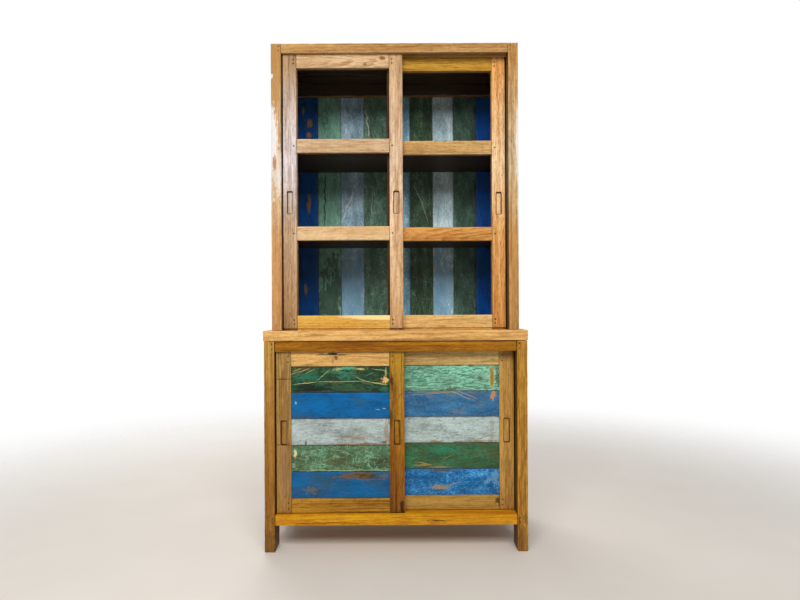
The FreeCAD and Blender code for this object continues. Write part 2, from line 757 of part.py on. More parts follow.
def build_panel_doors():
    """The two sliding board-panelled doors of the base."""
    width = base_inner - panel_door_end_gap + panel_door_overlap / 2
    faces = door_places(base_front, panel_door_inset)
    bottom = sill_top + panel_door_floor_gap
    top = base_head_underside + door_top_entry
    rails = [("bottom_rail", bottom, bottom + panel_bottom_rail_height),
             ("top_rail", top - panel_top_rail_height, top)]
    boards_low, boards_high = rails[0][2], rails[1][1]
    pull = (panel_pull_above_floor, panel_pull_width, panel_pull_height)
    groove_floor = sill_top - bottom_groove_depth
    let_in = groove_depth - board_end_gap
    pieces = {}
    for prefix, left, face_y in (
            ("panel_door_left", panel_door_end_gap - base_inner, faces[0]),
            ("panel_door_right", -panel_door_overlap / 2, faces[1])):
        frame = build_door_frame(left, width, face_y, groove_floor, panel_stile_width, rails, pull,
                                 panel_peg_pair_spacing)
        low_x, high_x = left + panel_stile_width, left + width - panel_stile_width
        board_y = face_y + panel_board_setback
        groove = block([low_x - groove_depth, board_y - groove_clearance, boards_low - groove_depth],
                       [high_x + groove_depth, board_y + panel_board_thickness + groove_clearance,
                        boards_high + groove_depth])
        for key in frame:
            if key != "pegs":
                frame[key] = frame[key].cut(groove)

        def to_point(across, depth):
            return FreeCAD.Vector(low_x - let_in, board_y + depth, across)

        boards = tongued_boards([1] * panel_board_count, boards_low, boards_high,
                                panel_board_thickness, board_tongue, to_point,
                                FreeCAD.Vector(high_x - low_x + 2 * let_in, 0, 0), let_in)
        frame["boards"] = Part.makeCompound(boards)
        pieces.update(name_door_pieces(prefix, frame, prefix.endswith("left")))
    return pieces


def peg_carcass(pieces):
    """Drive pegs through the joints of the head rails and the sill."""
    joints = (
        ("hutch", "hutch_head_rail", hutch_inner, hutch_front, (hutch_head_underside, hutch_top),
         carcass_peg_pair_spacing),
        ("base", "base_head_rail", base_inner, base_front, (base_head_underside, base_height),
         base_head_peg_pair_spacing),
        ("base", "base_sill_rail", base_inner, base_front, (leg_clearance, sill_top),
         carcass_peg_pair_spacing),
    )
    pegs = []
    for prefix, rail, inner, face_y, rail_span, spacing in joints:
        for height in peg_pair(*rail_span, spacing):
            for side, x in (("left", -inner - carcass_peg_inset), ("right", inner + carcass_peg_inset)):
                hole = peg(x, face_y, height, carcass_peg_length, peg_hole_clearance)
                name = prefix + "_post_front_" + side
                pieces[name] = pieces[name].cut(hole)
                pieces[rail] = pieces[rail].cut(hole)
                pegs.append(peg(x, face_y, height, carcass_peg_length))
    pieces["carcass_pegs"] = Part.makeCompound(pegs)


def main():
    os.makedirs("parts", exist_ok=True)
    pieces = {}
    pieces.update(build_base())
    pieces.update(build_counter())
    pieces.update(build_hutch())
    peg_carcass(pieces)
    pieces.update(build_glass_doors())
    pieces.update(build_panel_doors())
    for name, shape in pieces.items():
        shape.exportStep("parts/" + name + ".step")
        print(name, len(shape.Solids), "solids", round(shape.Volume / 1000), "cm3", shape.isValid())
    print(len(pieces), "nodes")


main()
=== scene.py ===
# %% [markdown]
# Mizuya kitchen cabinet, a lesson in wood and old paint.
#
# The real object is a two-part sliding-door cabinet of reclaimed teak. Some of its boards come from old
# boats and still carry blue, green and pale paint. The joinery model is loaded first, because every piece
# made here has to lie where a joiner would find it, and ride on the carcass or on one of the four doors.

# %% Load the joinery model
import math

import bmesh
import bpy
from mathutils import Euler, Matrix, Vector


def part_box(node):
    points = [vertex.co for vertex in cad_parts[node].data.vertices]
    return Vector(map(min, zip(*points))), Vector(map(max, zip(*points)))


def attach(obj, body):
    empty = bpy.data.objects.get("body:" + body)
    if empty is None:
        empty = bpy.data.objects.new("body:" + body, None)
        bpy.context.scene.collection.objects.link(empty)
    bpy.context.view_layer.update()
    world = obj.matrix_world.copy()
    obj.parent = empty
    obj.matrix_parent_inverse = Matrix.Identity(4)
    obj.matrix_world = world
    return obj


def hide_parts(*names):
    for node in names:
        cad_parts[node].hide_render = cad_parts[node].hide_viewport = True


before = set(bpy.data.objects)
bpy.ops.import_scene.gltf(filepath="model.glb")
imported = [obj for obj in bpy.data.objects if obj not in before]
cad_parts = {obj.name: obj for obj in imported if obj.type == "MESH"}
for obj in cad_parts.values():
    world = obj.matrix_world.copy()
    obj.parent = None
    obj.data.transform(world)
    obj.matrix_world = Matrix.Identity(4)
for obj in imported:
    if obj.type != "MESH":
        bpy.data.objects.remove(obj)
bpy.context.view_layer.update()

print("pieces in the joinery model:", len(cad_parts))

# %% [markdown]
# The camera stands where the photographer stood: straight in front, at chest height, about 2.3 m from the
# base. A level camera keeps the posts upright, and a small vertical shift frames the feet and the top. The
# photograph leans by a quarter of a degree, so the camera does as well.

# %% Camera
PHOTO_WIDTH = 800.0
FOCAL_PIXELS = 602.0
SENSOR_WIDTH = 36.0
CAMERA_PLACE = (0.025, -2.502, 0.917)
LEAN = math.radians(0.27)
SHIFT_X, SHIFT_Y = -0.0025, 0.0125

camera_data = bpy.data.cameras.new("camera")
camera_data.sensor_width = SENSOR_WIDTH
camera_data.lens = SENSOR_WIDTH * FOCAL_PIXELS / PHOTO_WIDTH
camera_data.shift_x, camera_data.shift_y = SHIFT_X, SHIFT_Y
camera = bpy.data.objects.new("camera", camera_data)
camera.location = CAMERA_PLACE
camera.rotation_euler = Euler((math.radians(90), LEAN, 0))
bpy.context.scene.collection.objects.link(camera)
bpy.context.scene.camera = camera
print("lens in mm:", round(camera_data.lens, 2))

# %% [markdown]
# A shader pattern is a sum of soft fields over the surface. Placing each node by hand hides the sum, so a
# node's output is wrapped in a class that adds and multiplies like a number, and each sign places one node.
# The boards are measured in millimetres, the patterns in patches per metre.

# %% Fields, colours and units
MM = 0.001


def metres(corner):
    """A place or a size in metres, from millimetres."""
    return tuple(length * MM for length in corner)


def colour(red, green, blue):
    """A colour as a paint card gives it, 0 to 255, turned into the linear values that shaders use."""
    channels = [channel / 255 for channel in (red, green, blue)]
    linear = [c / 12.92 if c <= 0.04045 else ((c + 0.055) / 1.055) ** 2.4 for c in channels]
    return (*linear, 1.0)


class Field:
    """The output of a shader node, which can be added, subtracted, multiplied and divided."""

    def __init__(self, socket):
        self.socket, self.tree = socket, socket.id_data

    def __add__(self, other):
        return maths("ADD", self, other)

    def __sub__(self, other):
        return maths("SUBTRACT", self, other)

    def __rsub__(self, other):
        return maths("SUBTRACT", other, self)

    def __mul__(self, other):
        return maths("MULTIPLY", self, other)

    def __truediv__(self, other):
        return maths("DIVIDE", self, other)


def feed(value, socket):
    """Connects a field to a socket, or sets the socket to a plain value."""
    if isinstance(value, Field):
        value.tree.links.new(value.socket, socket)
    else:
        socket.default_value = value


def place_node(kind, *values, slots=None, **settings):
    """Places a node in the tree that its values come from, and feeds its inputs in order or by slot."""
    tree = next(value.tree for value in values if isinstance(value, Field))
    node = tree.nodes.new("ShaderNode" + kind)
    for key, value in settings.items():
        setattr(node, key, value)
    for value, slot in zip(values, slots or range(len(values))):
        feed(value, node.inputs[slot])
    return node


def maths(operation, *values):
    """A sum of numbers, or of whole places where one of the values is a place."""
    whole = any(isinstance(value, tuple) or isinstance(value, Field) and value.socket.type != "VALUE"
                for value in values)
    node = place_node("VectorMath" if whole else "Math", *values, operation=operation)
    return Field(node.outputs["Vector" if whole and operation != "LENGTH" else "Value"])


def larger(first, second):
    return maths("MAXIMUM", first, second)


def smaller(first, second):
    return maths("MINIMUM", first, second)


def parts_of(vector):
    return [Field(socket) for socket in place_node("SeparateXYZ", vector).outputs]


def noise(place, stretch, detail=2, roughness=0.5, distortion=0):
    """Soft noise around 0.5 that has so many patches in a metre along each axis."""
    node = place_node("TexNoise", place * stretch, 1, detail, roughness, distortion,
                      slots=("Vector", "Scale", "Detail", "Roughness", "Distortion"))
    return Field(node.outputs[0])


def step(value, start, end):
    """Rises softly from 0 to 1 while the value goes from start to end."""
    return Field(place_node("MapRange", value, start, end, interpolation_type="SMOOTHSTEP").outputs[0])


def mix(amount, first, second, mode="MIX"):
    """One colour laid over another; MULTIPLY stains the first with the second."""
    node = place_node("Mix", amount, first, second, slots=(0, 6, 7), data_type="RGBA", blend_type=mode)
    return Field(node.outputs[2])


def new_group(name, inputs, outputs):
    """An empty node group; gives the group, its inputs as fields, and its output sockets."""
    group = bpy.data.node_groups.new(name, "ShaderNodeTree")
    for direction, kinds in (("INPUT", inputs), ("OUTPUT", outputs)):
        for kind, labels in kinds.items():
            for label in labels.split(", "):
                group.interface.new_socket(label, in_out=direction, socket_type="NodeSocket" + kind)
    own_inputs = list(group.nodes.new("NodeGroupInput").outputs)[:-1]
    return group, [Field(socket) for socket in own_inputs], group.nodes.new("NodeGroupOutput").inputs


def use_group(group, **values):
    """Places a group and feeds its inputs by name; an underscore stands for a space."""
    labels = [key.replace("_", " ").capitalize() for key in values]
    node = place_node("Group", *values.values(), slots=labels, node_tree=group)
    return {socket.name: Field(socket) for socket in node.outputs}


print("one unit of the boards in metres:", MM)

# %% [markdown]
# Reclaimed wood is told by its flaws: knots, stains and chips, each with a ragged edge. They are all the same
# thing to a shader, a patch at a known place whose outline is broken up by noise. One group makes such a
# patch, and each material places it with its own size, from a round knot to a hair-thin scarf.

# %% Group: ragged patch
patch_group, (position, place, half_size, ragged, fineness), made = new_group(
    "ragged_patch", {"Vector": "Position, Place, Half size", "Float": "Ragged, Fineness"}, {"Float": "Mask"})
in_halves = (position - place) / half_size
own_noise = in_halves * fineness + place * (71, 0, 53)
reach = maths("LENGTH", in_halves)
for scale, share in ((1, 1), (4.5, 0.8)):
    uneven = noise(own_noise, (scale, scale, scale), 3, 0.6) - 0.5
    reach = reach + uneven * share * ragged
feed(1 - step(reach, 0.75, 1), made["Mask"])
print("made", patch_group.name)

# %% [markdown]
# Splits in wood and long cracks in paint are lines, not patches. A crack follows a gentle bow on the face,
# wavers with noise and thins out towards both ends. The finger pulls get a line as well: dirt and painted
# shade where the pocket's wall meets the face, along a rectangle with rounded corners.

# %% Groups: crack and pocket line
HAIR = 0.00001
crack_group, (position, place, slope, bend, half_length, width, waver), made = new_group(
    "crack", {"Vector": "Position, Place", "Float": "Slope, Bend, Half length, Width, Waver"},
    {"Float": "Mask"})
run, _, rise = parts_of(position - place)
long_waver = noise(position, (28, 0, 28), 5, 0.6) - 0.5
bow = (bend * run + slope) * run + long_waver * waver
run_share = run / half_length
taper = larger(1 - run_share * run_share, 0)
half_width = larger(width * taper * noise(position, (70, 0, 70)), HAIR)
mask = 1 - step(maths("ABSOLUTE", rise - bow) / half_width, 0.6, 1.6)
feed(mask * step(taper, 0, 0.05), made["Mask"])

PULL_CORNER = 0.004
pocket_group, (position, place, half_size), made = new_group(
    "pocket_line", {"Vector": "Position, Place, Half size"}, {"Float": "Mask"})
away = maths("ABSOLUTE", position - place) - half_size
beside, _, above = parts_of(away + (PULL_CORNER, PULL_CORNER, PULL_CORNER))
outside = maths("SQRT", maths("POWER", larger(beside, 0), 2) + maths("POWER", larger(above, 0), 2))
off_line = maths("ABSOLUTE", outside + smaller(larger(beside, above), 0) - PULL_CORNER)
smear = noise(position, (90, 90, 60), 3) - 0.5
feed(1 - step(smear * 0.0012 + off_line, 0.0008, 0.003), made["Mask"])
print("made", crack_group.name, "and", pocket_group.name)

# %% [markdown]
# Sharp arrises are the first thing that handling wears away. The group measures how far a point lies from
# the nearest edge of its board, from the board's own half size, and breaks the worn line up with noise. It
# also tells the sawn ends from the long faces, because end grain drinks oil and turns darker.

# %% Group: board edges
edges_group, (position, half_size, width), made = new_group(
    "board_edges", {"Vector": "Position, Half size", "Float": "Width"}, {"Float": "Worn, Seam, End"})
along, deep, across = parts_of(half_size - maths("ABSOLUTE", position))
edge_distance = larger(smaller(along, deep), smaller(larger(along, deep), across))
broken = noise(position, (60, 90, 90), 4, 0.6) - 0.5
feed(1 - step(edge_distance + broken * (width * 4), 0, width), made["Worn"])
feed(1 - step(edge_distance, 0.0004, 0.0018), made["Seam"])
feed(1 - step(along, 0.0003, 0.0012), made["End"])
print("made", edges_group.name)

# %% [markdown]
# Teak has growth rings that are cylinders in the log. A board is a flat slice of that log, so the same rings
# give cathedral arches near the heart and straight lines far from it. The group keeps the log in three
# dimensions, so faces, edges and ends agree with each other. Over the rings come long colour streaks, fine
# fibres and the short dark pores that make teak look combed.

# %% Group: teak
SURFACE = {"Color": "Color", "Float": "Roughness, Height"}
PORE_OIL = (0.02, 0.01, 0.004, 1.0)
teak_group, fields, made = new_group(
    "teak", {"Vector": "Position, Heart", "Color": "Light, Dark, Tint",
             "Float": "Seed, Slope, Ring spacing, Wander, Tint amount, Streaks, Rings, Flecks, Pores"},
    SURFACE)
(position, heart, light, dark, tint, seed, slope, ring_spacing, wander, tint_amount,
 streaks, rings, flecks, pores) = fields
grain_place = position + seed * (3.17, 7.71, 5.39)
along, deep, across = parts_of(position - heart)
deep = deep + slope * along + (noise(grain_place, (3, 11, 11)) - 0.5) * (wander * 2)
across = across + (noise(grain_place, (2.2, 7, 26)) - 0.5) * (wander * 2)
radius = maths("SQRT", deep * deep + across * across)
ring_count = radius / ring_spacing + noise(grain_place, (1.5, 55, 55))
ring_part = maths("FRACT", ring_count)
year = place_node("TexWhiteNoise", maths("FLOOR", ring_count) + seed, slots=("W",), noise_dimensions="1D")
late_wood = maths("POWER", ring_part, 2) * (1 - step(ring_part, 0.86, 1))
late_wood = late_wood * (Field(year.outputs["Value"]) * 0.9 + 0.4)
streak = step(noise(grain_place, (1.4, 42, 42), 4, 0.6), 0.36, 0.66)
fleck = noise(grain_place, (16, 130, 130), 4, 0.62)
fibre = noise(grain_place, (12, 620, 620), 3)
pore = step(noise(grain_place, (55, 1100, 1100), 1), 0.58, 0.7)
drift = noise(grain_place, (1.3, 6, 6), 1)
darkness = (streak - 0.5) * streaks + (late_wood - 0.2) * rings + (fleck - 0.5) * flecks
darkness = darkness + (fibre - 0.5) * 1.1 + (drift - 0.5) * 1.4 + 0.4
wood = mix(darkness, light, dark)
tinted = step(noise(grain_place, (2, 14, 14), 3), 0.42, 0.66)
wood = mix(tinted * tint_amount, wood, tint)
feed(mix(pore * pores, wood, mix(0.55, dark, PORE_OIL)), made["Color"])
feed(fibre * 0.25 + 0.36, made["Roughness"])
feed(pore * -0.9 + fibre * 0.5 + late_wood * 0.25, made["Height"])
print("made", teak_group.name)

# %% [markdown]
# Boat paint on an old plank is layers: a coat of colour, patches of an older coat, smoke and tar, a skin that
# has crackled with the grain, long scratches and chips down to the wood. Each layer is a mask laid over the
# last one. Chips and scratches sit lower than the paint, so the light catches their rims.

# %% Group: boat paint
IN_CRACKLE, SPECK, WEATHERED = (0.16, 0.22, 0.2, 1.0), (0.035, 0.03, 0.018, 1.0), (0.3, 0.24, 0.2, 1.0)
paint_group, fields, made = new_group(
    "boat_paint", {"Vector": "Position", "Color": "Paint, Old coat, Bright, Soot, Wood",
                   "Float": "Seed, Patches, Smoke, Crackle, Cracks, Strokes, Scratches, Specks, Worn"},
    SURFACE)
(position, paint, old_coat, bright, soot, wood,
 seed, patches, smoke, crackle, cracks, strokes, scratches, specks, worn) = fields


def turned(place, degrees):
    """The same place with the pattern's run turned on the face of the board."""
    node = place_node("VectorRotate", place, math.radians(degrees), slots=("Vector", "Angle"),
                      rotation_type="Y_AXIS")
    return Field(node.outputs[0])


place = position + seed * (2.31, 6.13, 4.57)
cloud = noise(place, (9, 24, 24), 9, 0.7)
fleck = noise(place, (90, 240, 240), 5, 0.7)
patch_start = 0.66 - patches * 0.44
coat = mix(step((fleck - 0.5) * 1.1 + cloud, patch_start, patch_start + 0.4), paint, old_coat)
grain_lines = noise(place, (24, 380, 380), 3)
coat = mix(1, coat, grain_lines * 0.7 + (fleck - 0.5) * 1.7 + (cloud - 0.5) * 2.4 + 0.65, "MULTIPLY")
steep_strokes = step(noise(turned(place, 72), (30, 40, 210), 3, 0.6), 0.53, 0.7)
flat_strokes = step(noise(turned(place, -24), (18, 40, 230), 3, 0.6), 0.55, 0.72)
coat = mix(larger(steep_strokes, flat_strokes) * strokes, coat, old_coat)
crackled = (1 - step(noise(place, (36, 250, 250), 4, 0.6, 0.8), 0.43, 0.52)) * crackle
coat = mix(crackled, coat, mix(1, paint, IN_CRACKLE, "MULTIPLY"))
coat = mix(step(noise(place, (12, 26, 26), 7, 0.72), 0.44, 0.7) * smoke, coat, soot)
long_field = noise(turned(place, 6), (7, 24, 24), 3, 0.45, 0.5)
cracked = (1 - step(maths("ABSOLUTE", long_field - 0.5), 0.004, 0.02)) * cracks
coat = mix(cracked, coat, bright)
dirty = step(noise(place, (14, 20, 20), 3), 0.42, 0.6)
speck = step(noise(place, (110, 210, 210), 3, 0.6), 0.59, 0.68) * dirty
coat = mix(speck * specks, coat, SPECK)
scratch = step(noise(turned(place, 12), (6, 60, 420)), 0.63, 0.68)
scratch = scratch * step(noise(place, (16, 22, 22)), 0.46, 0.56) * scratches
chip_start = 0.76 - worn * 0.34
bare = larger(step(noise(place, (20, 52, 52), 9, 0.74), chip_start, chip_start + 0.03), scratch)
bare_wood = mix(grain_lines, wood, mix(1, wood, WEATHERED, "MULTIPLY"))
feed(mix(bare, coat, bare_wood), made["Color"])
feed(bare * 0.3 + fleck * 0.3 + 0.28, made["Roughness"])
feed(grain_lines * 0.35 + crackled * -0.6 + cracked * -0.6 - bare, made["Height"])
print("made", paint_group.name)

# %% [markdown]
# A finish is one material for one board. The board's own middle and grain direction go into a Mapping node,
# so the groups always see the grain running along X and the board around zero. Marks such as knots, stains
# and splits are then laid over it by their places on the cabinet.

# %% Marks and drifts on a board
AXES = "xyz"
QUARTER = math.radians(90)
GRAIN = {"x": ("xyz", (0, 0, 0)), "z": ("zyx", (0, QUARTER, 0)), "y": ("yxz", (0, 0, QUARTER))}
MARK_DEPTH, MARK_FINENESS = 20, 1.4
DRIFT_PLACES, GLARE_POWERS = (0.05, 0.35, 0.6, 0.95), (0.15, 0.45, 1.0)


def board_space(tree, low, high, grain):
    """Object coordinates, the same with the board's middle at zero and the grain along X, its half size."""
    coordinates = Field(tree.nodes.new("ShaderNodeTexCoord").outputs["Object"])
    order, turn = GRAIN[grain]
    middle, half = (Vector(low) + Vector(high)) / 2, (Vector(high) - Vector(low)) / 2
    mapping = place_node("Mapping", coordinates, middle, turn, vector_type="TEXTURE")
    return coordinates, Field(mapping.outputs[0]), tuple(getattr(half, order))


def lay_marks(tint, coordinates, marks, face):
    """Lays stains and chips on a face: (x, z, half x, half z, colour, strength, raggedness, half depth)."""
    for x, z, half_x, half_z, tone, strength, ragged, *deep in marks:
        half_size = metres((half_x, *(deep or [MARK_DEPTH]), half_z))
        mask = use_group(patch_group, position=coordinates, place=metres((x, face, z)), half_size=half_size,
                         ragged=ragged * 3, fineness=MARK_FINENESS)["Mask"]
        tint = mix(mask * strength, tint, colour(*tone))
    return tint


def lay_cracks(tint, coordinates, cracks, grain):
    """Lays cracks along the grain: (x, z, slope, bend, half length, width, colour, strength)."""
    for x, z, slope, bend, half_length, width, tone, strength in cracks:
        position, place = coordinates, (x, 0, z)
        if grain == "z":
            side, depth, height = parts_of(coordinates)
            position, place = Field(place_node("CombineXYZ", height, depth, side).outputs[0]), (z, 0, x)
        mask = use_group(crack_group, position=position, place=metres(place), slope=slope, bend=bend,
                         half_length=half_length * MM, width=width * MM, waver=width * MM * 5)["Mask"]
        tint = mix(mask * strength, tint, colour(*tone))
    return tint


def paint_light_drift(tint, coordinates, low, high, grain, drift):
    """Lets painted light drift along the grain: (lightness, paleness) at foot, waist, shoulder and head."""
    # The drift is painted light: paler stops are painted glare, darker ones painted light falloff with some
    # of the wood's own tone.
    axis = AXES.index(grain)
    share = (parts_of(coordinates)[axis] - low[axis]) / (high[axis] - low[axis])
    ramp = place_node("ValToRGB", share)
    stops = ramp.color_ramp.elements
    stops.remove(stops[1])
    for number, (place, (lightness, paleness)) in enumerate(zip(DRIFT_PLACES, drift)):
        stop = stops.new(place) if number else stops[0]
        stop.position = place
        stop.color = (*[lightness * paleness ** power / 2 for power in GLARE_POWERS], 1.0)
    return mix(1, tint, Field(ramp.outputs[0]), "MULTIPLY") * (2, 2, 2)


print("marks can be laid on a face, this deep in mm:", MARK_DEPTH)

# %% Finishes for boards
BOARD_SHEEN, RELIEF_STRENGTH, RELIEF = 0.22, 0.5, 0.0008
SEAM_SHADE, END_SHADE, SHADOW_LINE = 0.7, 0.55, 0.45
RUBBED, POCKET_DIRT_AND_SHADE = 22, 0.8
PAINT_EDGE_WEAR, PAINT_SEAM_SHADE = 0.35, 0.6
# The colour that painted shade multiplies into inner faces.
PAINTED_SHADE = (0.07, 0.05, 0.035, 1.0)
SPLIT, SEAM = (52, 28, 8), (24, 20, 14)
GREY_TEAK = dict(light=(168, 128, 84), dark=(104, 74, 44), tint=(120, 106, 90), tint_amount=0.6,
                 streaks=0.5, flecks=1.5, pores=0.6, wander=4)
BOARD_STEP = 1.37


def new_material(name):
    """A new material, its node tree and the inputs of its Principled BSDF."""
    material = bpy.data.materials.new(name)
    material.use_nodes = True
    return material, material.node_tree, material.node_tree.nodes["Principled BSDF"].inputs


def relief(height, strength, distance):
    bump = place_node("Bump", height, strength, distance, slots=("Height", "Strength", "Distance"))
    return Field(bump.outputs[0])


def finish_shader(shader, tint, made):
    """Feeds a board's colour, and its group's roughness and height, to the shader."""
    shader["Specular IOR Level"].default_value = BOARD_SHEEN
    feed(tint, shader["Base Color"])
    feed(made["Roughness"], shader["Roughness"])
    feed(relief(made["Height"], RELIEF_STRENGTH, RELIEF), shader["Normal"])


def raw_teak(position, seed, light, dark, heart=(20, -90), slope=0.02, spacing=6, wander=3,
             tint=(150, 110, 70), tint_amount=0.3, streaks=0.6, rings=0.6, flecks=2.3, pores=0.7):
    """The teak group with colours from the paint card and lengths in millimetres."""
    return use_group(teak_group, position=position, seed=seed, heart=metres((0, *heart)), slope=slope,
                     ring_spacing=spacing * MM, wander=wander * MM, light=colour(*light), dark=colour(*dark),
                     tint=colour(*tint), tint_amount=tint_amount, streaks=streaks, rings=rings, flecks=flecks,
                     pores=pores)


def teak_finish(name, low, high, grain, seed, light, dark, worn=0.3, marks=(), marks_y=None, cracks=(),
                pull=None, boards=None, inner=(), drift=(), **log):
    """Oiled teak with its own log, colours and marks; inner faces past a place on an axis get painted shade.
    """
    material, tree, shader = new_material(name)
    coordinates, position, half = board_space(tree, low, high, grain)
    if boards:
        axis, start, pitch = boards
        seed = maths("FLOOR", (parts_of(coordinates)[AXES.index(axis)] - start) / pitch) * BOARD_STEP + seed
    made = raw_teak(position, seed, light, dark, **log)
    edges = use_group(edges_group, position=position, half_size=half, width=0.003)
    rubbed = colour(*[min(255, channel + RUBBED) for channel in light])
    shadow_line = colour(*[channel * SHADOW_LINE for channel in dark])
    tint = mix(edges["Worn"] * worn, made["Color"], rubbed)
    tint = mix(edges["Seam"] * SEAM_SHADE, tint, shadow_line)
    tint = mix(edges["End"] * END_SHADE, tint, shadow_line)
    # Painted shade on inner faces, where the shade of a recess or of the cabinet's inside falls.
    for axis, place, direction, amount in inner:
        past = (parts_of(coordinates)[AXES.index(axis)] - place * MM) * direction
        tint = mix(step(past, 0, MM) * amount, tint, mix(1, tint, PAINTED_SHADE, "MULTIPLY"))
    # Painted glare and light falloff along the member, with some of its own tone.
    if drift:
        tint = paint_light_drift(tint, coordinates, low, high, grain, drift)
    tint = lay_marks(tint, coordinates, marks, low[1] / MM if marks_y is None else marks_y)
    tint = lay_cracks(tint, coordinates, cracks, grain)
    # Dirt and painted shade round the rim of a finger pull.
    if pull:
        line = use_group(pocket_group, position=coordinates, place=pull[0], half_size=pull[1])["Mask"]
        tint = mix(line * POCKET_DIRT_AND_SHADE, tint, colour(*SPLIT))
    finish_shader(shader, tint, made)
    return material


def painted_finish(name, low, high, grain, seed, paint, old_coat, wear, marks, cracks, painted_to):
    """Old boat paint on the front of a board; behind painted_to the board is bare, grey teak."""
    material, tree, shader = new_material(name)
    coordinates, position, half = board_space(tree, low, high, grain)
    values = dict(bright=(190, 186, 120), wood=(176, 132, 72), soot=(48, 44, 32), patches=0.5, smoke=0.3,
                  crackle=0.2, cracks=0, strokes=0.2, scratches=0.4, specks=0.5, worn=0.2)
    values.update(wear, paint=paint, old_coat=old_coat)
    bare = colour(*[channel * 0.6 for channel in values["wood"]])
    values = {key: colour(*value) if isinstance(value, tuple) else value for key, value in values.items()}
    made = use_group(paint_group, position=position, seed=seed, **values)
    edges = use_group(edges_group, position=position, half_size=half, width=0.005)
    tint = mix(edges["Worn"] * PAINT_EDGE_WEAR, made["Color"], bare)
    tint = lay_marks(tint, coordinates, marks, low[1] / MM)
    tint = lay_cracks(tint, coordinates, cracks, grain)
    depth = noise(coordinates, (60, 60, 60), 3) * 0.006 + parts_of(coordinates)[1]
    behind = step(depth, painted_to * MM + 0.003, painted_to * MM + 0.0035)
    tint = mix(behind, tint, raw_teak(position, seed, **GREY_TEAK)["Color"])
    finish_shader(shader, mix(edges["Seam"] * PAINT_SEAM_SHADE, tint, colour(*SEAM)), made)
    return material


print("finishes are ready")

# %% [markdown]
# Every wooden member starts as a sawn block, as it would at the bench. Cross cuts give the block enough
# points to take a worn surface, and a tongue can be drawn out of one of its faces.

# %% Sawing
SURFACE_PITCH, FACING = 14 * MM, 0.9


def pick(*blocks):
    """Leaves edit mode and selects only these objects; the first is the one that tools act on."""
    if bpy.context.object and bpy.context.object.mode != "OBJECT":
        bpy.ops.object.mode_set(mode="OBJECT")
    bpy.ops.object.select_all(action="DESELECT")
    for block in blocks:
        block.select_set(True)
    if blocks:
        bpy.context.view_layer.objects.active = blocks[0]


def settle():
    """Moves the new object's place into its mesh, and gives the object."""
    bpy.ops.object.transform_apply(location=True, rotation=True, scale=True)
    return bpy.context.object


def sawn_block(name, low, high):
    """A plain block between two corners given in millimetres."""
    pick()
    low, high = Vector(metres(low)), Vector(metres(high))
    bpy.ops.mesh.primitive_cube_add(size=1, location=(low + high) / 2, scale=high - low)
    block = settle()
    block.name = block.data.name = name
    return block


def turned_rod(x, y_low, y_high, z, radius):
    """A round rod that runs from front to back, for pegs and their holes."""
    pick()
    middle = metres((x, (y_low + y_high) / 2, z))
    bpy.ops.mesh.primitive_cylinder_add(vertices=12, radius=radius * MM, depth=(y_high - y_low) * MM,
                                        location=middle, rotation=(QUARTER, 0, 0))
    return settle()


def axis_vector(axis, length):
    return Vector([length * (number == axis) for number in range(3)])


def slice_at(axis, place):
    """In edit mode, cuts the whole mesh across one axis."""
    bpy.ops.mesh.select_all(action="SELECT")
    bpy.ops.mesh.bisect(plane_co=axis_vector(axis, place), plane_no=axis_vector(axis, 1))


def cross_cut(low, high, pitch):
    """Divides the active block's faces into small ones by cuts at an even pitch along each axis."""
    bpy.ops.object.mode_set(mode="EDIT")
    for axis in range(3):
        length = (high[axis] - low[axis]) * MM
        count = max(1, round(length / pitch))
        for number in range(1, count):
            slice_at(axis, low[axis] * MM + length * number / count)
    bpy.ops.object.mode_set(mode="OBJECT")


def select_where(kind, chosen):
    """In edit mode, selects only the edges or faces that pass a test."""
    bpy.ops.mesh.select_mode(type=kind)
    bpy.ops.mesh.select_all(action="DESELECT")
    mesh = bmesh.from_edit_mesh(bpy.context.object.data)
    for part in (mesh.edges if kind == "EDGE" else mesh.faces):
        if chosen(part):
            part.select_set(True)
    bmesh.update_edit_mesh(bpy.context.object.data)


def faces_front(face):
    return face.normal.y < -FACING


def grow_tongue(axis, side, length, across, start, end):
    """Draws a tongue out of one face of the active block, between two places across that face."""
    bpy.ops.object.mode_set(mode="EDIT")
    for place in (start, end):
        slice_at(across, place * MM)
    select_where("FACE", lambda face: face.normal[axis] * side > FACING
                 and start < face.calc_center_median()[across] / MM < end)
    reach = axis_vector(axis, side * length * MM)
    bpy.ops.mesh.extrude_region_move(TRANSFORM_OT_translate={"value": reach})
    bpy.ops.object.mode_set(mode="OBJECT")


print("saw is set, one cut every", SURFACE_PITCH / MM, "mm")

# %% [markdown]
# The blocks are then worn. Two soft displacements that only ever push inwards plane a block unevenly and
# dent its edges, and its arrises are eased. Grooves, rebates, pulls and peg holes are routed out last.

# %% Planing, wearing and routing
SMOOTH_UNDER = math.radians(40)
ARRIS_REACH = 9
ALWAYS_INWARDS = 1.1


def clouds(name, size, depth, contrast):
    texture = bpy.data.textures.new(name, "CLOUDS")
    texture.noise_scale, texture.noise_depth, texture.contrast = size, depth, contrast
    return texture


hand_planed = clouds("hand_planed", 0.09, 1, 1.0)
knocked = clouds("knocked", 0.035, 2, 2.2)


def apply_modifier(block, kind, **settings):
    """Adds a modifier, sets it and applies it at once."""
    pick(block)
    modifier = block.modifiers.new(kind.lower(), kind)
    for key, value in settings.items():
        setattr(modifier, key, value)
    bpy.ops.object.modifier_apply(modifier=modifier.name)


def weight_edges(block, low, high):
    """A vertex group that is 1 on the block's arrises and fades out over their reach."""
    group = block.vertex_groups.new(name="arrises")
    for vertex in block.data.vertices:
        gaps = sorted(min(vertex.co[axis] / MM - low[axis], high[axis] - vertex.co[axis] / MM)
                      for axis in range(3))
        weight = 1 - gaps[1] / ARRIS_REACH
        if weight > 0 and gaps[0] > -0.5:
            group.add([vertex.index], weight, "ADD")


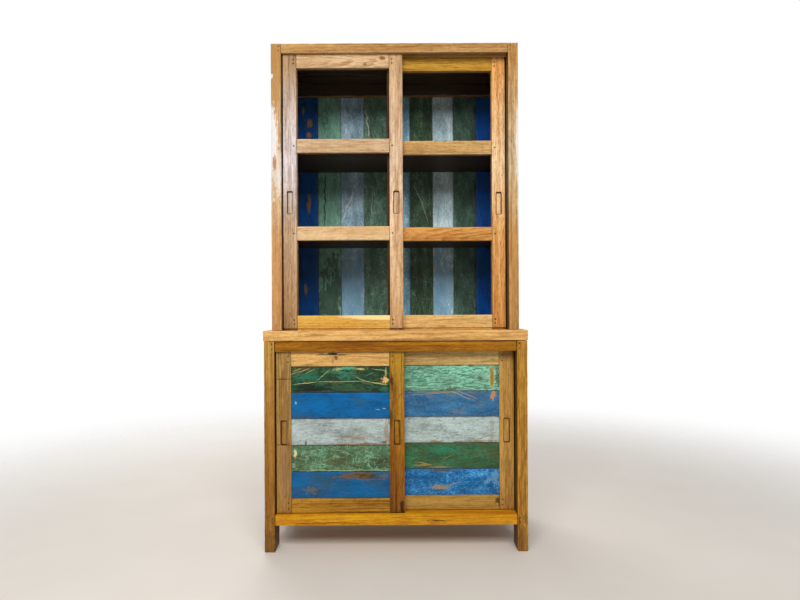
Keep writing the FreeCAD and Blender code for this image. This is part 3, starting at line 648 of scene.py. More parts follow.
def wear_down(block, low, high, ease, planing, knocks):
    """Planes and dents the block, always inwards, then eases what is left of its arrises."""
    weight_edges(block, low, high)
    for texture, depth, group in ((hand_planed, planing, ""), (knocked, knocks, "arrises")):
        apply_modifier(block, "DISPLACE", texture=texture, texture_coords="LOCAL", mid_level=ALWAYS_INWARDS,
                       strength=depth * MM, vertex_group=group)
    block.vertex_groups.clear()
    apply_modifier(block, "BEVEL", width=ease * MM, segments=2, limit_method="ANGLE",
                   angle_limit=SMOOTH_UNDER)


def rout(block, cutters):
    """Cuts all the shapes out of the block in one pass and throws them away."""
    pick(*cutters)
    if len(cutters) > 1:
        bpy.ops.object.join()
    cutter = bpy.context.object
    apply_modifier(block, "BOOLEAN", operation="DIFFERENCE", solver="EXACT", object=cutter)
    bpy.data.objects.remove(cutter)


def hand_in(piece, body, node, material):
    """Gives a piece its material and smooth shading, hangs it on its body and hides the node that it stands
    for.
    """
    piece.data.materials.clear()
    piece.data.materials.append(material)
    pick(piece)
    bpy.ops.object.shade_smooth_by_angle(angle=SMOOTH_UNDER)
    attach(piece, body)
    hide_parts(node)


def member(name, node, low, high, material, body="carcass", slot="frame_teak", cutters=(), tongue=None,
           ease=1.5, pitch=SURFACE_PITCH, planing=0.5, knocks=0.9):
    """One finished wooden member between two corners; corners, ease, planing and knocks in millimetres."""
    block = sawn_block(name, low, high)
    cross_cut(low, high, pitch)
    if tongue:
        grow_tongue(*tongue)
    wear_down(block, low, high, ease, planing, knocks)
    if cutters:
        rout(block, cutters)
    hand_in(block, body, node, material)


def teak_member(name, node, low, high, grain, look, **making):
    """A member of bare teak: its log and marks are in the look, and the rest says how it is made."""
    member(name, node, low, high, teak_finish(name, metres(low), metres(high), grain, **look), **making)


print("arrises are worn within this reach in mm:", ARRIS_REACH)

# %% [markdown]
# The finger pulls are pockets with rounded corners, cut by a shaped tool. The tool starts as a block, its
# four upright corners are bevelled round, and its front is flared by half a millimetre so that the rim of the
# pocket comes out softened, as a rim does where fingers have gone for years.

# %% Cutters for pulls, pegs and grooves
PULL_START, PULL_DEPTH, FLARE, FLARE_DEPTH = 0.8, 9, 4, 2.8
HOLE_START, HOLE_END, HOLE_RADIUS = -2, 8, 3.2
DOOR_DEPTH, UPPER_GROOVE, TRACK_DEPTH, TRACK_HALF = 22, 20, 8, 5.8
PAST = 5


def cutter_block(low, high):
    return sawn_block("cutter", low, high)


def pull_cutter(x, face, z, width, height):
    """The tool for one finger pull."""
    cutter_block((x - width / 2, face + PULL_START, z - height / 2),
                 (x + width / 2, face + PULL_DEPTH, z + height / 2))
    bpy.ops.object.mode_set(mode="EDIT")
    select_where("EDGE", lambda edge: abs((edge.verts[0].co - edge.verts[1].co).normalized().y) > FACING)
    bpy.ops.mesh.bevel(offset=PULL_CORNER, segments=4, affect="EDGES")
    select_where("FACE", faces_front)
    bpy.ops.mesh.extrude_region_move(TRANSFORM_OT_translate={"value": (0, -FLARE_DEPTH * MM, 0)})
    bpy.ops.transform.resize(value=(1 + FLARE / width, 1, 1 + FLARE / height),
                             center_override=metres((x, face, z)))
    bpy.ops.object.mode_set(mode="OBJECT")
    return bpy.context.object


def peg_cutters(places):
    return [turned_rod(x, face + HOLE_START, face + HOLE_END, z, HOLE_RADIUS) for x, face, z in places]


def joint_pegs(x, face, z_low, z_high, spacing):
    """Places for a joint's pegs: two at a spacing, or one in the middle where there is no spacing."""
    middle = (z_low + z_high) / 2
    return [(x, face, middle + away) for away in ((-spacing / 2, spacing / 2) if spacing else (0,))]


def top_grooves(half, faces, underside):
    """Wide grooves in a head rail, one for each door."""
    return [cutter_block((-half - PAST, face - 1, underside - PAST),
                         (half + PAST, face + DOOR_DEPTH + 1, underside + UPPER_GROOVE)) for face in faces]


def track_grooves(half, faces, top):
    """Narrow tracks in the wood below the doors, for their tongues."""
    middle = DOOR_DEPTH / 2
    return [cutter_block((-half, face + middle - TRACK_HALF, top - TRACK_DEPTH),
                         (half, face + middle + TRACK_HALF, top + PAST)) for face in faces]


print("finger pulls are this deep in mm:", PULL_DEPTH)

# %% [markdown]
# The base stands on four posts, and the hutch repeats it in lighter timber. The base's posts run to the
# floor: their feet are darker towards the bottom, and their arrises are eased the most. The front posts are
# pegged to the rails, and the rear posts have a rebate for the back boards.

# %% Posts of the base and the hutch
SIDES = (("left", -1), ("right", 1))
REAR = (172, 222)
BACK_FRONT, BACK_REAR = 197, 209
REBATE_IN, REBATE_OUT = 3, 17
PEG_FROM_EDGE, SHADE_FROM = 9, 1.2
carcass_pegs = []


def timber(seed, light, dark, heart, **more):
    """A member's log: its seed, its lightest and darkest wood, and where the heart of the log lies."""
    return dict(seed=seed, light=light, dark=dark, heart=heart, **more)


def four_posts(part, inner, outer, front, z_low, z_high, joints, looks, ease=1.5):
    """Front and rear posts on both sides; joints are the (low, high, peg spacing) of the pegged rails."""
    for side, sign in SIDES:
        x_low, x_high = sorted((sign * inner, sign * outer))
        peg_x = sign * (inner + PEG_FROM_EDGE)
        pegs = [place for joint in joints for place in joint_pegs(peg_x, front[0], *joint)]
        carcass_pegs.extend(pegs)
        rebate_low, rebate_high = sorted((sign * (inner - REBATE_IN), sign * (inner + REBATE_OUT)))
        # Painted shade on the post's inner face, where the gap beside the doors lies in shade.
        log = dict(looks[side], inner=[("x", sign * (inner + SHADE_FROM), -sign, 0.8)])
        for row, (y_low, y_high) in (("front", front), ("rear", REAR)):
            if row == "front":
                cutters = peg_cutters(pegs)
            else:
                cutters = [cutter_block((rebate_low, BACK_FRONT, z_low - PAST),
                                        (rebate_high, REAR[1] + PAST, z_high + PAST))]
                log.update(seed=log["seed"] + 0.4, marks=())
            label = f"{part}_post_{row}_{side}"
            teak_member("teak_" + label, label, (x_low, y_low, z_low), (x_high, y_high, z_high), "z", log,
                        cutters=cutters, ease=ease)


BASE_HALF, BASE_OUTER, BASE_TOP = 460, 500, 800
BASE_FRONT, HUTCH_FRONT = (-222, -132), (-197, -109)
BASE_HEAD_UNDERSIDE, SILL_FOOT, SILL_TOP = 759, 100, 141
FOOT_DARKENING = (60, 44, 28)
base_post_looks = {
    "left": timber(1.3, (196, 150, 71), (131, 89, 33), (12, -70), tint=(159, 102, 30), tint_amount=0.45,
                   drift=((0.9, 0.6), (0.88, 0.8), (0.95, 0.9), (1.05, 1.1))),
    "right": timber(2.9, (208, 156, 62), (130, 83, 23), (-20, -60), tint=(149, 106, 42), tint_amount=0.4,
                    drift=((1.1, 0.7), (1.02, 0.95), (0.95, 0.9), (0.92, 0.9))),
}
for side, sign in SIDES:
    # Each foot gets a darker patch towards the floor.
    base_post_looks[side].update(marks=[(sign * 480, 0, 60, 120, FOOT_DARKENING, 0.4, 0.8, 120)], marks_y=-190)
four_posts("base", BASE_HALF, BASE_OUTER, BASE_FRONT, 0, BASE_TOP,
           ((BASE_HEAD_UNDERSIDE, BASE_TOP, 20), (SILL_FOOT, SILL_TOP, 16)), base_post_looks, ease=2.2)
print("base posts:", BASE_TOP, "mm tall, pegs:", len(carcass_pegs))

# %% [markdown]
# The head rail and the sill of the base guide the doors. The head has two wide grooves that the doors' tops
# reach into, and the sill two narrow ones for their tongues. Routing the grooves for real leaves room for
# the doors at every place they slide to.

# %% Base head rail and sill
PANEL_FACES, GLASS_FACES = (-204, -170), (-182, -148)

teak_member("teak_base_head", "base_head_rail", (-BASE_HALF, BASE_FRONT[0] + 5, BASE_HEAD_UNDERSIDE),
            (BASE_HALF, BASE_FRONT[1], BASE_TOP), "x",
            timber(3.1, (188, 127, 19), (124, 70, 3), (50, -120), spacing=5, wander=6, tint=(120, 70, 20),
                   tint_amount=0.4),
            cutters=top_grooves(BASE_HALF, PANEL_FACES, BASE_HEAD_UNDERSIDE))
teak_member("teak_sill", "base_sill_rail", (-BASE_HALF, BASE_FRONT[0] + 3, SILL_FOOT),
            (BASE_HALF, BASE_FRONT[1], SILL_TOP), "x",
            timber(4.2, (225, 166, 27), (175, 104, 4), (-15, -30), slope=0.03, spacing=8, wander=8,
                   tint=(214, 140, 30), tint_amount=0.5, streaks=0.5, rings=0.7,
                   cracks=[(-300, 110, 0.03, 0.2, 95, 2.8, SPLIT, 0.8),
                           (-150, 108, 0.06, -0.3, 60, 2.2, SPLIT, 0.6),
                           (152, 118, -0.03, 0.4, 45, 3.6, SPLIT, 0.9)]),
            cutters=track_grooves(BASE_HALF + PAST, PANEL_FACES, SILL_TOP))
print("base head rail and sill are grooved for doors at", PANEL_FACES)

# %% [markdown]
# The counter is four planks, edge to edge. Only the first shows from the front, as a broad pale edge with
# its lower arris darkened by hands, and it is ploughed with the tracks of the glass doors. The other three
# carry the hutch and show from the sides and behind.

# %% Counter
COUNTER_HALF, COUNTER_FRONT, COUNTER_TOP = 502, -225, 840
HUTCH_HALF, HUTCH_OUTER, HUTCH_TOP = 435, 474, 1940
PLANK_DEPTH, BOARD_GAP = 112.5, 0.3
counter_looks = [
    timber(5.1, (235, 185, 112), (177, 120, 54), (30, -50), slope=0.012,
           marks=[(0, 797, 620, 11, (120, 74, 30), 0.45, 0.5, 30),
                  (-300, 826, 50, 4, (150, 100, 50), 0.35, 0.8),
                  (420, 815, 30, 12, (160, 112, 60), 0.3, 0.9)]),
    timber(6.3, (206, 156, 98), (160, 108, 58), (-30, -60), slope=-0.02),
    timber(7.7, (212, 160, 96), (164, 112, 54), (0, -40), slope=0.015),
    timber(8.9, (200, 150, 96), (152, 104, 58), (40, -80), slope=0.01),
]
for number, log in enumerate(counter_looks):
    log.update(spacing=9, wander=7, tint=(190, 132, 76), tint_amount=0.35, streaks=0.4, rings=0.5)
    y_low = COUNTER_FRONT + number * PLANK_DEPTH
    teak_member(f"teak_counter_{number + 1}", "counter_planks" if number else "counter_front_plank",
                (-COUNTER_HALF, y_low + BOARD_GAP * (number > 0), BASE_TOP),
                (COUNTER_HALF, y_low + PLANK_DEPTH, COUNTER_TOP), "x", log,
                cutters=() if number else track_grooves(HUTCH_HALF, GLASS_FACES, COUNTER_TOP))
print("counter planks:", len(counter_looks))

# %% [markdown]
# The hutch's left front post keeps a strip of white paint that peels from the outer arris, with an island of
# bare wood in it, and the right one is rubbed pale along its outer edge. These marks are listed one by one,
# because they are what one remembers of the real posts.

# %% Hutch posts and head rail
HUTCH_HEAD_UNDERSIDE = 1903
LIMEWASH = (226, 222, 218)
hutch_post_looks = {
    "left": timber(
        11.3, (216, 178, 129), (159, 114, 68), (20, -70),
        drift=((1, 0.7), (1.02, 1.2), (1.05, 1.3), (0.7, 0.9)),
        marks=[(-455, 1850, 40, 150, (178, 128, 62), 0.55, 0.5, 30),
               (-452, 1450, 30, 95, LIMEWASH, 0.45, 0.9, 30), (-468, 1580, 22, 130, LIMEWASH, 0.95, 0.4, 30),
               (-461, 1482, 8, 30, (172, 112, 56), 0.85, 0.7, 30), (-444, 1420, 6, 60, LIMEWASH, 0.6, 0.9),
               (-473.5, 1815, 8, 12, LIMEWASH, 0.9, 0.6, 30),
               (-455, 1050, 30, 220, (196, 122, 40), 0.3, 0.9, 30)]),
    "right": timber(
        12.9, (207, 171, 117), (143, 104, 61), (-25, -60),
        drift=((0.97, 0.65), (0.97, 0.7), (1.06, 1.75), (0.98, 0.55)),
        marks=[(474, 1560, 10, 160, LIMEWASH, 0.8, 0.8, 30), (474, 1250, 5, 160, LIMEWASH, 0.6, 0.9, 30),
               (457, 1050, 20, 200, (188, 126, 56), 0.35, 0.9, 30), (454.5, 1715, 2.5, 2.5, SPLIT, 0.9, 0.3),
               (447, 1560, 2.5, 2.5, SPLIT, 0.9, 0.3)]),
}
for log in hutch_post_looks.values():
    log.update(slope=0.01, tint=(176, 118, 62), tint_amount=0.4)
four_posts("hutch", HUTCH_HALF, HUTCH_OUTER, HUTCH_FRONT, COUNTER_TOP, HUTCH_TOP,
           ((HUTCH_HEAD_UNDERSIDE, HUTCH_TOP, 16),), hutch_post_looks)
teak_member("teak_hutch_head", "hutch_head_rail", (-HUTCH_HALF, HUTCH_FRONT[0], HUTCH_HEAD_UNDERSIDE),
            (HUTCH_HALF, HUTCH_FRONT[1], HUTCH_TOP), "x",
            timber(13.4, (195, 157, 99), (136, 95, 47), (30, -60), slope=0.01, spacing=7, wander=6,
                   tint=(150, 96, 48), tint_amount=0.45, streaks=0.5),
            cutters=top_grooves(HUTCH_HALF, GLASS_FACES, HUTCH_HEAD_UNDERSIDE))
print("hutch posts and head rail reach", HUTCH_TOP, "mm")

# %% [markdown]
# Sides, backs and top are frames closed with boards. They are plain work, seen from the side and behind. The
# rails come first: those of one node are alike, but each is sawn from its own log.

# %% Side rails and back rails
def rail_set(part, wall, z_spans, x_spans, y_low, y_high, grain, seed, inner=()):
    """The rails of one node: the same rail at each height and at each place along X."""
    for level, (z_low, z_high) in enumerate(z_spans):
        for side, (x_low, x_high) in enumerate(x_spans):
            log = timber(seed + 0.7 * level + 0.3 * side, (198, 146, 86), (148, 100, 52), (20, -50),
                         tint_amount=0.35, inner=inner)
            teak_member(f"teak_{part}_{wall}_rail_{level + 1}_{side + 1}", f"{part}_{wall}_rails",
                        (x_low, y_low, z_low), (x_high, y_high, z_high), grain, log)


BASE_LEVELS = ((SILL_FOOT, SILL_TOP), (BASE_HEAD_UNDERSIDE, BASE_TOP))
rail_set("base", "side", BASE_LEVELS, ((467.5, 492.5), (-492.5, -467.5)), BASE_FRONT[1], REAR[0], "y", 15.1)
rail_set("hutch", "side", ((COUNTER_TOP, 880), (1900, HUTCH_TOP)), ((442, 467), (-467, -442)),
         HUTCH_FRONT[1], REAR[0], "y", 16.1)
rail_set("base", "back", BASE_LEVELS, ((-BASE_HALF, BASE_HALF),), REAR[0], BACK_FRONT, "x", 17.1)
# The back rail's front faces the inside of the hutch and gets painted shade.
rail_set("hutch", "back", ((COUNTER_TOP, 880), (1868, HUTCH_TOP)), ((-HUTCH_HALF, HUTCH_HALF),),
         REAR[0], BACK_FRONT, "x", 18.1, [("y", 173.5, -1, 0.97)])
print("side and back rails done")

# %% [markdown]
# One function makes all the boards of a wall. They are matched: each has a tongue on one edge and a groove in
# the other, where it has a neighbour, and a hair of a gap is left between them. Every board has its own log
# and colour, because neighbouring boards in reclaimed work never match.

# %% Plain boards of the sides, the base's back and the top
BOARD_TONES = (((200, 150, 92), (150, 104, 56)), ((186, 136, 80), (136, 92, 48)),
               ((208, 160, 104), (160, 112, 64)))
TONGUE, GROOVE_ROOM = 5, 0.2


def matched_board(name, node, low, high, axis, material, is_first, is_last, **making):
    """A board with a groove on its lower edge and a tongue on its upper edge, where it has neighbours."""
    depth = min(range(3), key=lambda index: high[index] - low[index])
    third = (high[depth] - low[depth]) / 3
    start, end = low[depth] + third, low[depth] + 2 * third
    tongue, cutters = None, []
    if not is_last:
        tongue = (axis, 1, TONGUE, depth, start, end)
    if not is_first:
        groove_low, groove_high = [length - PAST for length in low], [length + PAST for length in high]
        groove_low[axis], groove_high[axis] = low[axis] - 2, low[axis] + TONGUE + 0.5
        groove_low[depth], groove_high[depth] = start - GROOVE_ROOM, end + GROOVE_ROOM
        cutters = [cutter_block(groove_low, groove_high)]
    member(name, node, low, high, material, cutters=cutters, tongue=tongue, **making)


def board_wall(name, node, axis, start, end, count, corners, grain, seed, inner=()):
    """Boards side by side along one axis; corners gives the other two spans by axis name."""
    pitch = (end - start) / count
    for number in range(count):
        own_span = (start + number * pitch + BOARD_GAP * (number > 0), start + (number + 1) * pitch)
        spans = {**corners, axis: own_span}
        low, high = zip(*[spans[key] for key in AXES])
        light, dark = BOARD_TONES[(number + int(seed)) % len(BOARD_TONES)]
        label = f"{name}_{number + 1}"
        finish = teak_finish(label, metres(low), metres(high), grain, seed + 0.77 * number, light, dark,
                             heart=(10 * (number % 3 - 1), -50), spacing=8, wander=5, inner=inner)
        matched_board(label, node, low, high, AXES.index(axis), finish, number == 0, number == count - 1,
                      slot="inside_teak", ease=1.2, pitch=20 * MM)


for wall, sign in (("right", 1), ("left", -1)):
    board_wall(f"base_side_board_{wall}", "base_side_boards", "y", -139.4, 179.4, 3,
               {"x": sorted((sign * 474, sign * 486)), "z": (133.6, 766.4)}, "z", 20 + sign)
    # The hutch side boards get painted shade on their inner faces.
    board_wall(f"hutch_side_board_{wall}", "hutch_side_boards", "y", -116.4, 179.4, 3,
               {"x": sorted((sign * 448.5, sign * 460.5)), "z": (872.6, 1907.4)}, "z", 23 + sign,
               [("x", sign * 452.5, -sign, 0.9)])
board_wall("base_back_board", "base_back_boards", "x", -476.4, 476.4, 9,
           {"y": (BACK_FRONT, BACK_REAR), "z": (SILL_FOOT, BASE_TOP)}, "z", 27)
# The top boards get painted shade on their undersides.
board_wall("hutch_top_board", "hutch_top_boards", "y", -108.7, 171.7, 3,
           {"x": (-441.7, 441.7), "z": (1922, HUTCH_TOP)}, "x", 31, [("z", 1932, -1, 0.95)])
print("plain boards done")

# %% [markdown]
# The nine back boards of the hutch are old boat planks, seen through the glass: blue, green, pale, dark
# green, light blue, dark green, pale, dark green and blue. Their fronts are painted and their backs are bare,
# since a boat's plank is only painted outside. A board is listed as its family, paint, older coat, wear,
# marks and cracks.

# %% Painted back boards
BACK_HALF, NARROW, NARROW_BOARDS, PAINTED_TO = 451.4, 0.9, (6, 8), 203
OCHRE, SCRATCH, CLEFT = (176, 128, 40), (236, 238, 234), (12, 14, 10)
back_boards = [
    ("blue", (16, 88, 172), (10, 56, 110),
     dict(smoke=0.4, worn=0.2, scratches=0.2, patches=0.4, wood=(190, 140, 50)),
     [(-414, 1812, 6, 18, OCHRE, 0.8, 0.9), (-386, 1755, 13, 21, OCHRE, 0.85, 0.8),
      (-389, 1703, 12, 16, OCHRE, 0.85, 0.8), (-390, 1397, 9, 45, OCHRE, 0.85, 0.8),
      (-405, 1012, 8, 26, OCHRE, 0.8, 0.9)], []),
    ("green", (150, 204, 182), (116, 162, 144),
     dict(smoke=0.35, worn=0.1, scratches=0.3, crackle=0.3),
     [(-300, 980, 60, 160, (46, 58, 40), 0.7, 1.4)],
     [(-318, 1420, 0.02, 0.1, 160, 6, CLEFT, 0.9)]),
    ("pale", (172, 208, 232), (206, 226, 236),
     dict(smoke=0.25, worn=0.08, scratches=0.5, wood=(236, 238, 236)),
     [(-195, 950, 60, 220, (140, 196, 236), 0.6, 0.5)],
     [(-215, 1388, 0.377, 0, 110, 6.5, SCRATCH, 0.9), (-225, 1700, 0.1, 0.5, 60, 4, SCRATCH, 0.6)]),
    ("green", (102, 138, 114), (150, 184, 166),
     dict(smoke=0.5, worn=0.1, scratches=0.8, wood=(214, 220, 206)), [],
     [(-127, 1760, -0.17, 0, 80, 5, SCRATCH, 0.9), (-110, 1380, 0.08, 0.4, 90, 3, SCRATCH, 0.4)]),
    ("pale", (140, 196, 232), (200, 228, 240),
     dict(smoke=0.3, worn=0.1, scratches=0.4, wood=(230, 234, 230)), [], []),
    ("green", (64, 92, 68), (124, 150, 120),
     dict(smoke=0.55, worn=0.12, scratches=0.9, wood=(214, 220, 206)), [],
     [(99, 1437, -0.45, 0, 50, 2.6, SCRATCH, 0.55), (128, 1360, -0.3, 0.3, 60, 2.6, SCRATCH, 0.45)]),
    ("pale", (206, 234, 246), (232, 242, 244),
     dict(smoke=0.2, worn=0.1, scratches=0.6, wood=(244, 242, 232)),
     [(205, 950, 60, 250, (124, 190, 236), 0.6, 0.8)],
     [(251.5, 1755, 0, 0, 70, 4.5, SCRATCH, 0.9), (251.5, 1420, 0, 0, 120, 4, SCRATCH, 0.7)]),
    ("green", (78, 108, 94), (112, 150, 136),
     dict(smoke=0.5, worn=0.1, scratches=0.5, wood=(200, 206, 190)), [], []),
    ("blue", (14, 96, 200), (12, 64, 140),
     dict(smoke=0.35, worn=0.06, scratches=0.25), [], []),
]
shares = [NARROW if number in NARROW_BOARDS else 1 for number in range(len(back_boards))]
unit = 2 * BACK_HALF / sum(shares)
start = -BACK_HALF
for number, (family, *coats) in enumerate(back_boards):
    end = start + unit * shares[number]
    low, high = (start + BOARD_GAP * (number > 0), BACK_FRONT, COUNTER_TOP), (end, BACK_REAR, HUTCH_TOP)
    label = f"back_board_{number + 1}_{family}"
    finish = painted_finish(label, metres(low), metres(high), "z", 40 + 1.7 * number, *coats, PAINTED_TO)
    matched_board(label, "hutch_back_boards_" + family, low, high, 0, finish, number == 0,
                  number == len(back_boards) - 1, slot="painted_" + family, ease=1.4, planing=0.6, knocks=0.8)
    start = end
print("painted back boards:", len(back_boards))

# %% [markdown]
# A sliding door is two stiles and its rails, tongued below to run in the track. One function makes a door's
# frame, because both pairs are built alike. The tongue is drawn out of the foot of each lower member, and the
# pull and the peg holes are routed in the stiles. A rail is listed as its name, its lower and upper edge, and
# the spacing of its pegs, which is 0 where there is only one.

# %% Door frames
PEG_FROM_JOINT, HIDDEN_TOP, FOOT_HALF = 11, 10, 5
STILES = {"left": ("outer_stile", "meeting_stile"), "right": ("meeting_stile", "outer_stile")}
door_pegs = {}


def door_member(prefix, name, x_span, face, z_span, grain, log, recesses, foot=None, pull=(), pegs=()):
    """One stile or rail; foot is the underside of the tongue that it runs on."""
    cutters = [cutter_block(*corners) for corners in recesses]
    cutters += [pull_cutter(*place) for place in pull] + peg_cutters(pegs)
    middle = face + DOOR_DEPTH / 2
    tongue = (2, -1, z_span[0] - foot, 1, middle - FOOT_HALF, middle + FOOT_HALF) if foot else None
    low, high = zip(x_span, (face, face + DOOR_DEPTH), z_span)
    teak_member(f"teak_{prefix}_{name}", prefix + ("_mid_rails" if "mid" in name else "_" + name), low, high,
                grain, log, body=prefix, slot="door_teak", cutters=cutters, tongue=tongue, ease=1.0,
                planing=0.35, knocks=0.8)


def door_frame(prefix, left, right, face, kind, recesses, looks):
    """Stiles and rails of one door; recesses are the corners of what holds its panes or boards."""
    stile, rails, foot, (pull_z, width, height) = kind["stile"], kind["rails"], kind["foot"], kind["pull"]
    names = STILES[prefix.split("_")[-1]]
    door_pegs[prefix] = []
    for name, x_low, peg_x in ((names[0], left, left + stile - PEG_FROM_JOINT),
                               (names[1], right - stile, right - stile + PEG_FROM_JOINT)):
        pegs = []
        for rail, z_low, z_high, spacing in rails:
            pegs += joint_pegs(peg_x, face, z_low, z_high - HIDDEN_TOP * (rail == "top_rail"), spacing)
        door_pegs[prefix] += pegs
        pull = (x_low + stile / 2, face, pull_z, width, height)
        pocket = (metres(pull[:3]), metres((width / 2, 0, height / 2)))
        door_member(prefix, name, (x_low, x_low + stile), face, (rails[0][1], rails[-1][2]), "z",
                    dict(looks[name], pull=pocket), recesses, foot, [pull], pegs)
    for rail, z_low, z_high, _ in rails:
        door_member(prefix, rail, (left + stile, right - stile), face, (z_low, z_high), "x", looks[rail],
                    recesses, foot if rail == "bottom_rail" else None)
    print(prefix, "frame:", len(rails) + 2, "members,", len(door_pegs[prefix]), "pegs")


# %% [markdown]
# No two members of the real doors match. The left glass door has a greyish outer stile, pale arches in its
# top rail and a bright, almost yellow bottom rail; the right one is more orange. Their colours, hearts and
# ring spacings are therefore listed member by member.

# %% Glass doors
GLASS_DOORS = {"glass_door_left": (-431, 31), "glass_door_right": (-31, 431)}
GLASS_STILE, REBATE, REBATE_FACE = 52, 8, 9
GLASS_RAILS = (("bottom_rail", 847, 897.5, 15.5), ("lower_mid_rail", 1187, 1241, 0),
               ("upper_mid_rail", 1524.5, 1578.5, 0), ("top_rail", 1851, 1913, 15.5))
glass_kind = dict(stile=GLASS_STILE, rails=GLASS_RAILS, foot=832.3, pull=(1333, 21, 86))
glass_looks = {
    "glass_door_left": {
        "outer_stile": timber(
            51.2, (219, 198, 176), (151, 121, 96), (10, -30), slope=0.03, spacing=7, wander=8,
            tint=(158, 136, 121), tint_amount=0.5, rings=0.5,
            drift=((0.8, 0.35), (1.02, 0.65), (1.12, 1.6), (0.75, 0.5))),
        "meeting_stile": timber(
            52.5, (228, 197, 162), (164, 124, 86), (-10, -50), wander=5, tint=(181, 136, 93), tint_amount=0.4,
            drift=((0.95, 0.55), (1.25, 0.95), (1.05, 1.2), (0.78, 0.68))),
        "bottom_rail": timber(
            53.7, (235, 192, 101), (194, 136, 49), (0, 50), slope=0.06, spacing=11, tint=(226, 168, 67),
            tint_amount=0.5, streaks=0.35, rings=0.5,
            marks=[(-21, 906.5, 260, 38, (186, 128, 44), 0.75, 0.12, 30),
                   (-21, 909.5, 255, 36, (252, 222, 154), 0.95, 0.12, 30)]),
        "lower_mid_rail": timber(
            54.1, (231, 196, 149), (179, 133, 82), (0, -90), tint=(206, 159, 100), tint_amount=0.4,
            streaks=0.35),
        "upper_mid_rail": timber(
            55.9, (217, 189, 157), (172, 132, 85), (0, 100), spacing=5, tint=(190, 149, 104), tint_amount=0.4,
            streaks=0.35, rings=0.4),
        "top_rail": timber(
            56.3, (216, 184, 144), (162, 121, 75), (-30, -10), slope=0.11, spacing=10, wander=4,
            tint=(197, 157, 107), tint_amount=0.4, streaks=0.25, rings=0.7,
            marks=[(-48, 1888, 14, 9, (120, 72, 34), 0.85, 0.7),
                   (-114, 1865, 8, 6, (130, 84, 44), 0.8, 0.7)]),
    },
    "glass_door_right": {
        "outer_stile": timber(
            61.2, (240, 190, 124), (180, 124, 70), (20, -70), tint=(226, 168, 101), tint_amount=0.4, pores=1,
            drift=((1.1, 0.52), (1.1, 0.8), (1, 2.1), (1.05, 0.6))),
        # The rear meeting stile gets painted shade where it lies behind the front door's stile.
        "meeting_stile": timber(62.5, (180, 130, 80), (130, 86, 46), (0, -60), inner=[("x", -18, -1, 0.8)]),
        "bottom_rail": timber(
            63.7, (245, 206, 134), (189, 140, 74), (0, -20), slope=0.1, spacing=9, tint=(220, 169, 101),
            tint_amount=0.4, rings=0.45),
        "lower_mid_rail": timber(
            64.1, (223, 163, 91), (146, 90, 37), (20, -20), slope=0.16, spacing=10, wander=12,
            tint=(186, 121, 52), tint_amount=0.5, rings=0.7),
        "upper_mid_rail": timber(
            65.9, (207, 169, 108), (144, 102, 61), (0, -80), tint=(185, 134, 73), tint_amount=0.5,
            streaks=0.5, pores=1),
        "top_rail": timber(
            66.3, (190, 144, 54), (130, 86, 26), (30, -50), spacing=7, tint=(179, 130, 41), tint_amount=0.4,
            streaks=0.55),
    },
}
for (prefix, (left, right)), face in zip(GLASS_DOORS.items(), GLASS_FACES):
    rebates = [((left + GLASS_STILE - REBATE, face + REBATE_FACE, below[2] - REBATE),
                (right - GLASS_STILE + REBATE, face + DOOR_DEPTH + 3, above[1] + REBATE))
               for below, above in zip(GLASS_RAILS, GLASS_RAILS[1:])]
    door_frame(prefix, left, right, face, glass_kind, rebates, glass_looks[prefix])

# %% [markdown]
# The base doors have the same frames round five old boat boards. The left frame is the more marked: a grey
# outer stile with a scarf under its pull, a knot and shakes in its pale top rail, and a split at the foot of
# the meeting stile.

